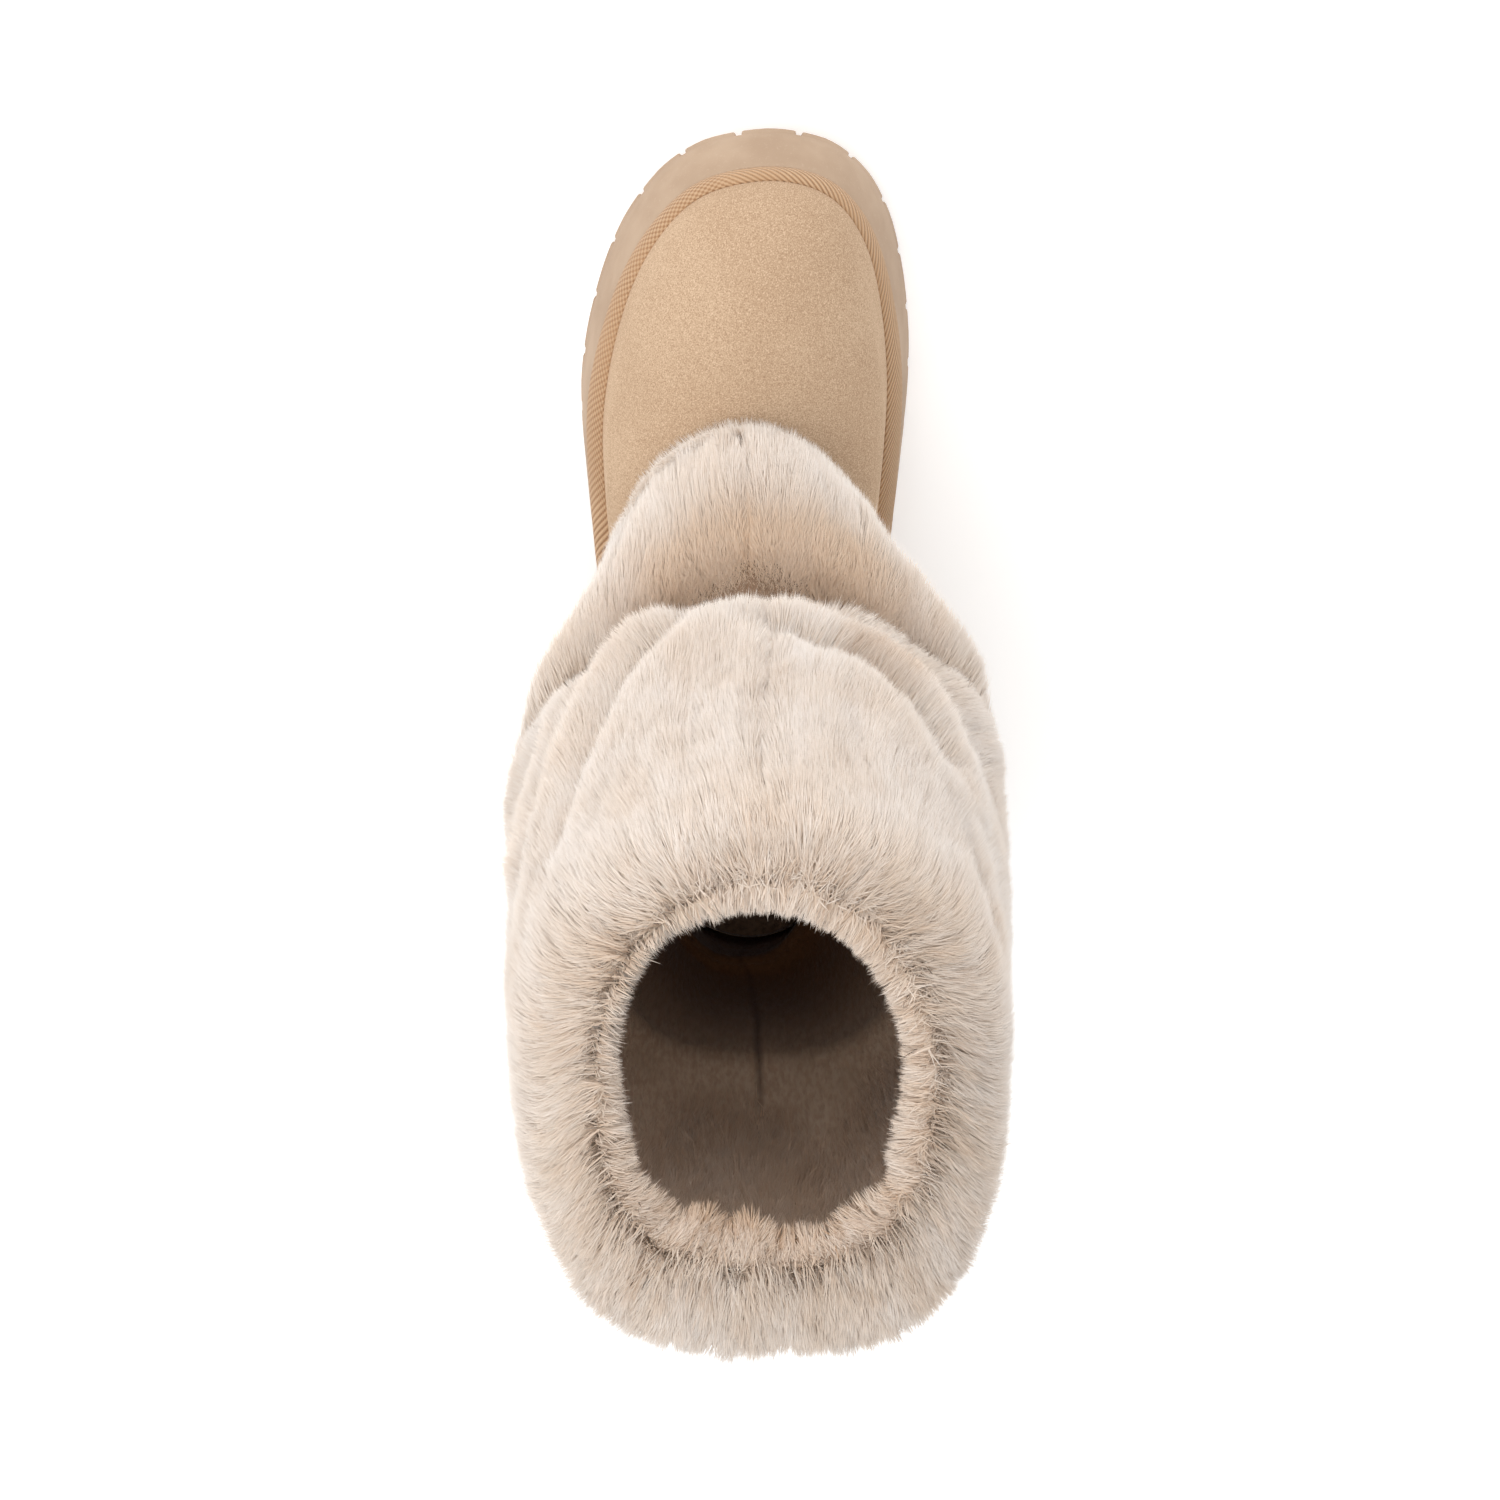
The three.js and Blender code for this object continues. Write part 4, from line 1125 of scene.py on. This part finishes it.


# colour: warm streaks, brown roots in the parting and where roots show; painted shade in the parting, the
# inner crease, over the crest and inside the rim, with the rim's tufts' own tone
def coloursOf(at, rng):
    row, u, fluff, under = at.row, at.u, at.fluff, at.under
    streak = 0.5 + 0.5 * drift(u, at.level, 90, 3, 34)
    warmth = 0.2 + 0.3 * fluff + 0.25 * streak + 0.15 * at.clumps[3] + 0.3 * fluff * at.tufts[3]
    warmth = warmth + 0.13 * rng.normal(0, 1, at.count)
    # painted shade: the inner crease is warmed towards tan, as the shade between the folds
    warmth = np.maximum(np.clip(warmth, 0, 1), np.maximum(under, 0.5 * at.crease))
    parted = near(row, at.parting, 5) * smooth(drift(u, 0, 60, 2, 35), -0.5, 0.4)
    speck = smooth(drift(u, at.level * 0.999, 330, 150, 36), 0.3, 0.75)
    lowest = under * smooth(at.share, 0.36, 0.4)
    pits = besides(at.turn, valleys[:, 0], valleys[:, 1]).sum(1)
    pits = pits * smooth(row, crestRow - 2, crestRow + 4) * (1 - smooth(row, liningRow + 12, liningRow + 22))
    brown = 0.75 * parted * (0.3 + 0.7 * speck) + (0.35 * lowest + 0.5 * at.crease) * speck
    brown = brown * rng.uniform(0.3, 1, at.count) + 0.15 * at.middle + 0.5 * under
    brown = brown + pits * (0.5 + 0.5 * speck)
    # painted shade: darker in the parting, over the crest, at the back inside the rim and in the inner
    # crease; the rim's tufts also differ in tone at random
    dusk = mixed(0.15 * near(row, at.parting, 9), 0.25 * near(row, crestRow, 12), at.inward)
    rear = smooth(-np.cos(2 * np.pi * u), 0.4, 0.95) * smooth(row, crestRow - 2, liningRow)
    rear = rear * (1 - smooth(row, liningRow + 6, liningRow + 20))
    dusk = dusk + rear + 0.45 * at.crease + fluff * (0.15 * at.tufts[4] + 0.15 * rng.normal(0, 1, at.count))
    # painted shade: strands darken further down inside the boot
    deep = smooth(row, crestRow + 2, liningRow + 16)
    values = {"warmth": warmth, "brown": brown, "dusk": dusk, "deep": deep}
    values = {key: np.repeat(np.clip(value, 0, 1), 3) for key, value in values.items()}
    bare = np.maximum(0.85 * under * (1 - 0.5 * lowest * speck), 0.35 * fluff)
    values["reach"] = np.stack([bare, bare, 0 * u + 1], 1)
    return values


# a strand is one long tapered blade, rooted in the skin, its tip laid down along the comb
def growPile(patch, seed, material):
    rng = np.random.default_rng(seed)
    row, u = scatter(patch, rng)
    at = placesOf(row, u, rng)
    angle, upright, down, comb = combOf(at, rng)
    length, lift = lengthOf(at, upright, rng)

    # the tip leans to the middle of its clump, at the rim to that of its tuft
    gather = -at.clumpAcross * pile["clump"] / 2 * pile["gather"]
    gather = gather - at.fluff * at.tuftAcross * pile["tuft"] / 2 * pile["tuftGather"]

    # it lies between the straight way along the comb and the skin ahead of the root
    rowAhead = row + down * np.cos(angle) * length * 0.9 / gridAt(stepUp, row, u) * (1 - at.hem)
    uAhead = u + np.sin(angle) * length * 0.9 / boot["shaftGirth"]
    hugged, huggedNormal = gridAt(skin, rowAhead, uAhead), unit(gridAt(skinNormal, rowAhead, uAhead))
    hold = (mixed(0.7, mixed(0.92, 0.78, at.edge), at.inward) * (1 - at.hem))[:, None]
    straight = at.root + comb * (length * (0.93 - 0.5 * upright))[:, None]
    tipNormal = unit(mixed(at.normal, huggedNormal, hold))
    tip = mixed(straight, hugged, hold) + tipNormal * (pile["rest"] * lift)[:, None]
    points, shade = bladeOf(at, comb, tip + at.side * gather[:, None], tipNormal, rng)

    triangles = np.arange(at.count)[:, None] * 3 + np.array([1, 0, 2])
    values = coloursOf(at, rng)
    piece = makePiece(patch["name"], points, noQuads, material, triangles=triangles, values=values)
    piece.data.normals_split_custom_set_from_vertices(np.repeat(shade, 3, axis=0))


pileMaterial = pileFinish("pile")
for number, patch in enumerate(patches):
    growPile(patch, 100 + number, pileMaterial)


# Floor

def makeFloor():
    finish = Finish("paper")
    grain = finish.noise(finish.place(), 300, 2, 0.5)
    colour = finish.mix(grain * 0.1, studio["floorColour"], (0.9, 0.9, 0.9, 1))
    material = finish.surface({
        "Base Color": colour, "Roughness": 0.95, "Specular IOR Level": 0.0,
        "Emission Color": (1, 1, 1, 1), "Emission Strength": studio["floorGlow"],
    })
    h = studio["floorHalf"]
    points = np.array([(-h, -h, 0), (h, -h, 0), (h, h, 0), (-h, h, 0)], float)
    mesh = buildMesh("floor", points, np.array([[0, 1, 2, 3]]), noTriangles, {})
    mesh.materials.append(material)
    addObject("floor", mesh)


makeFloor()
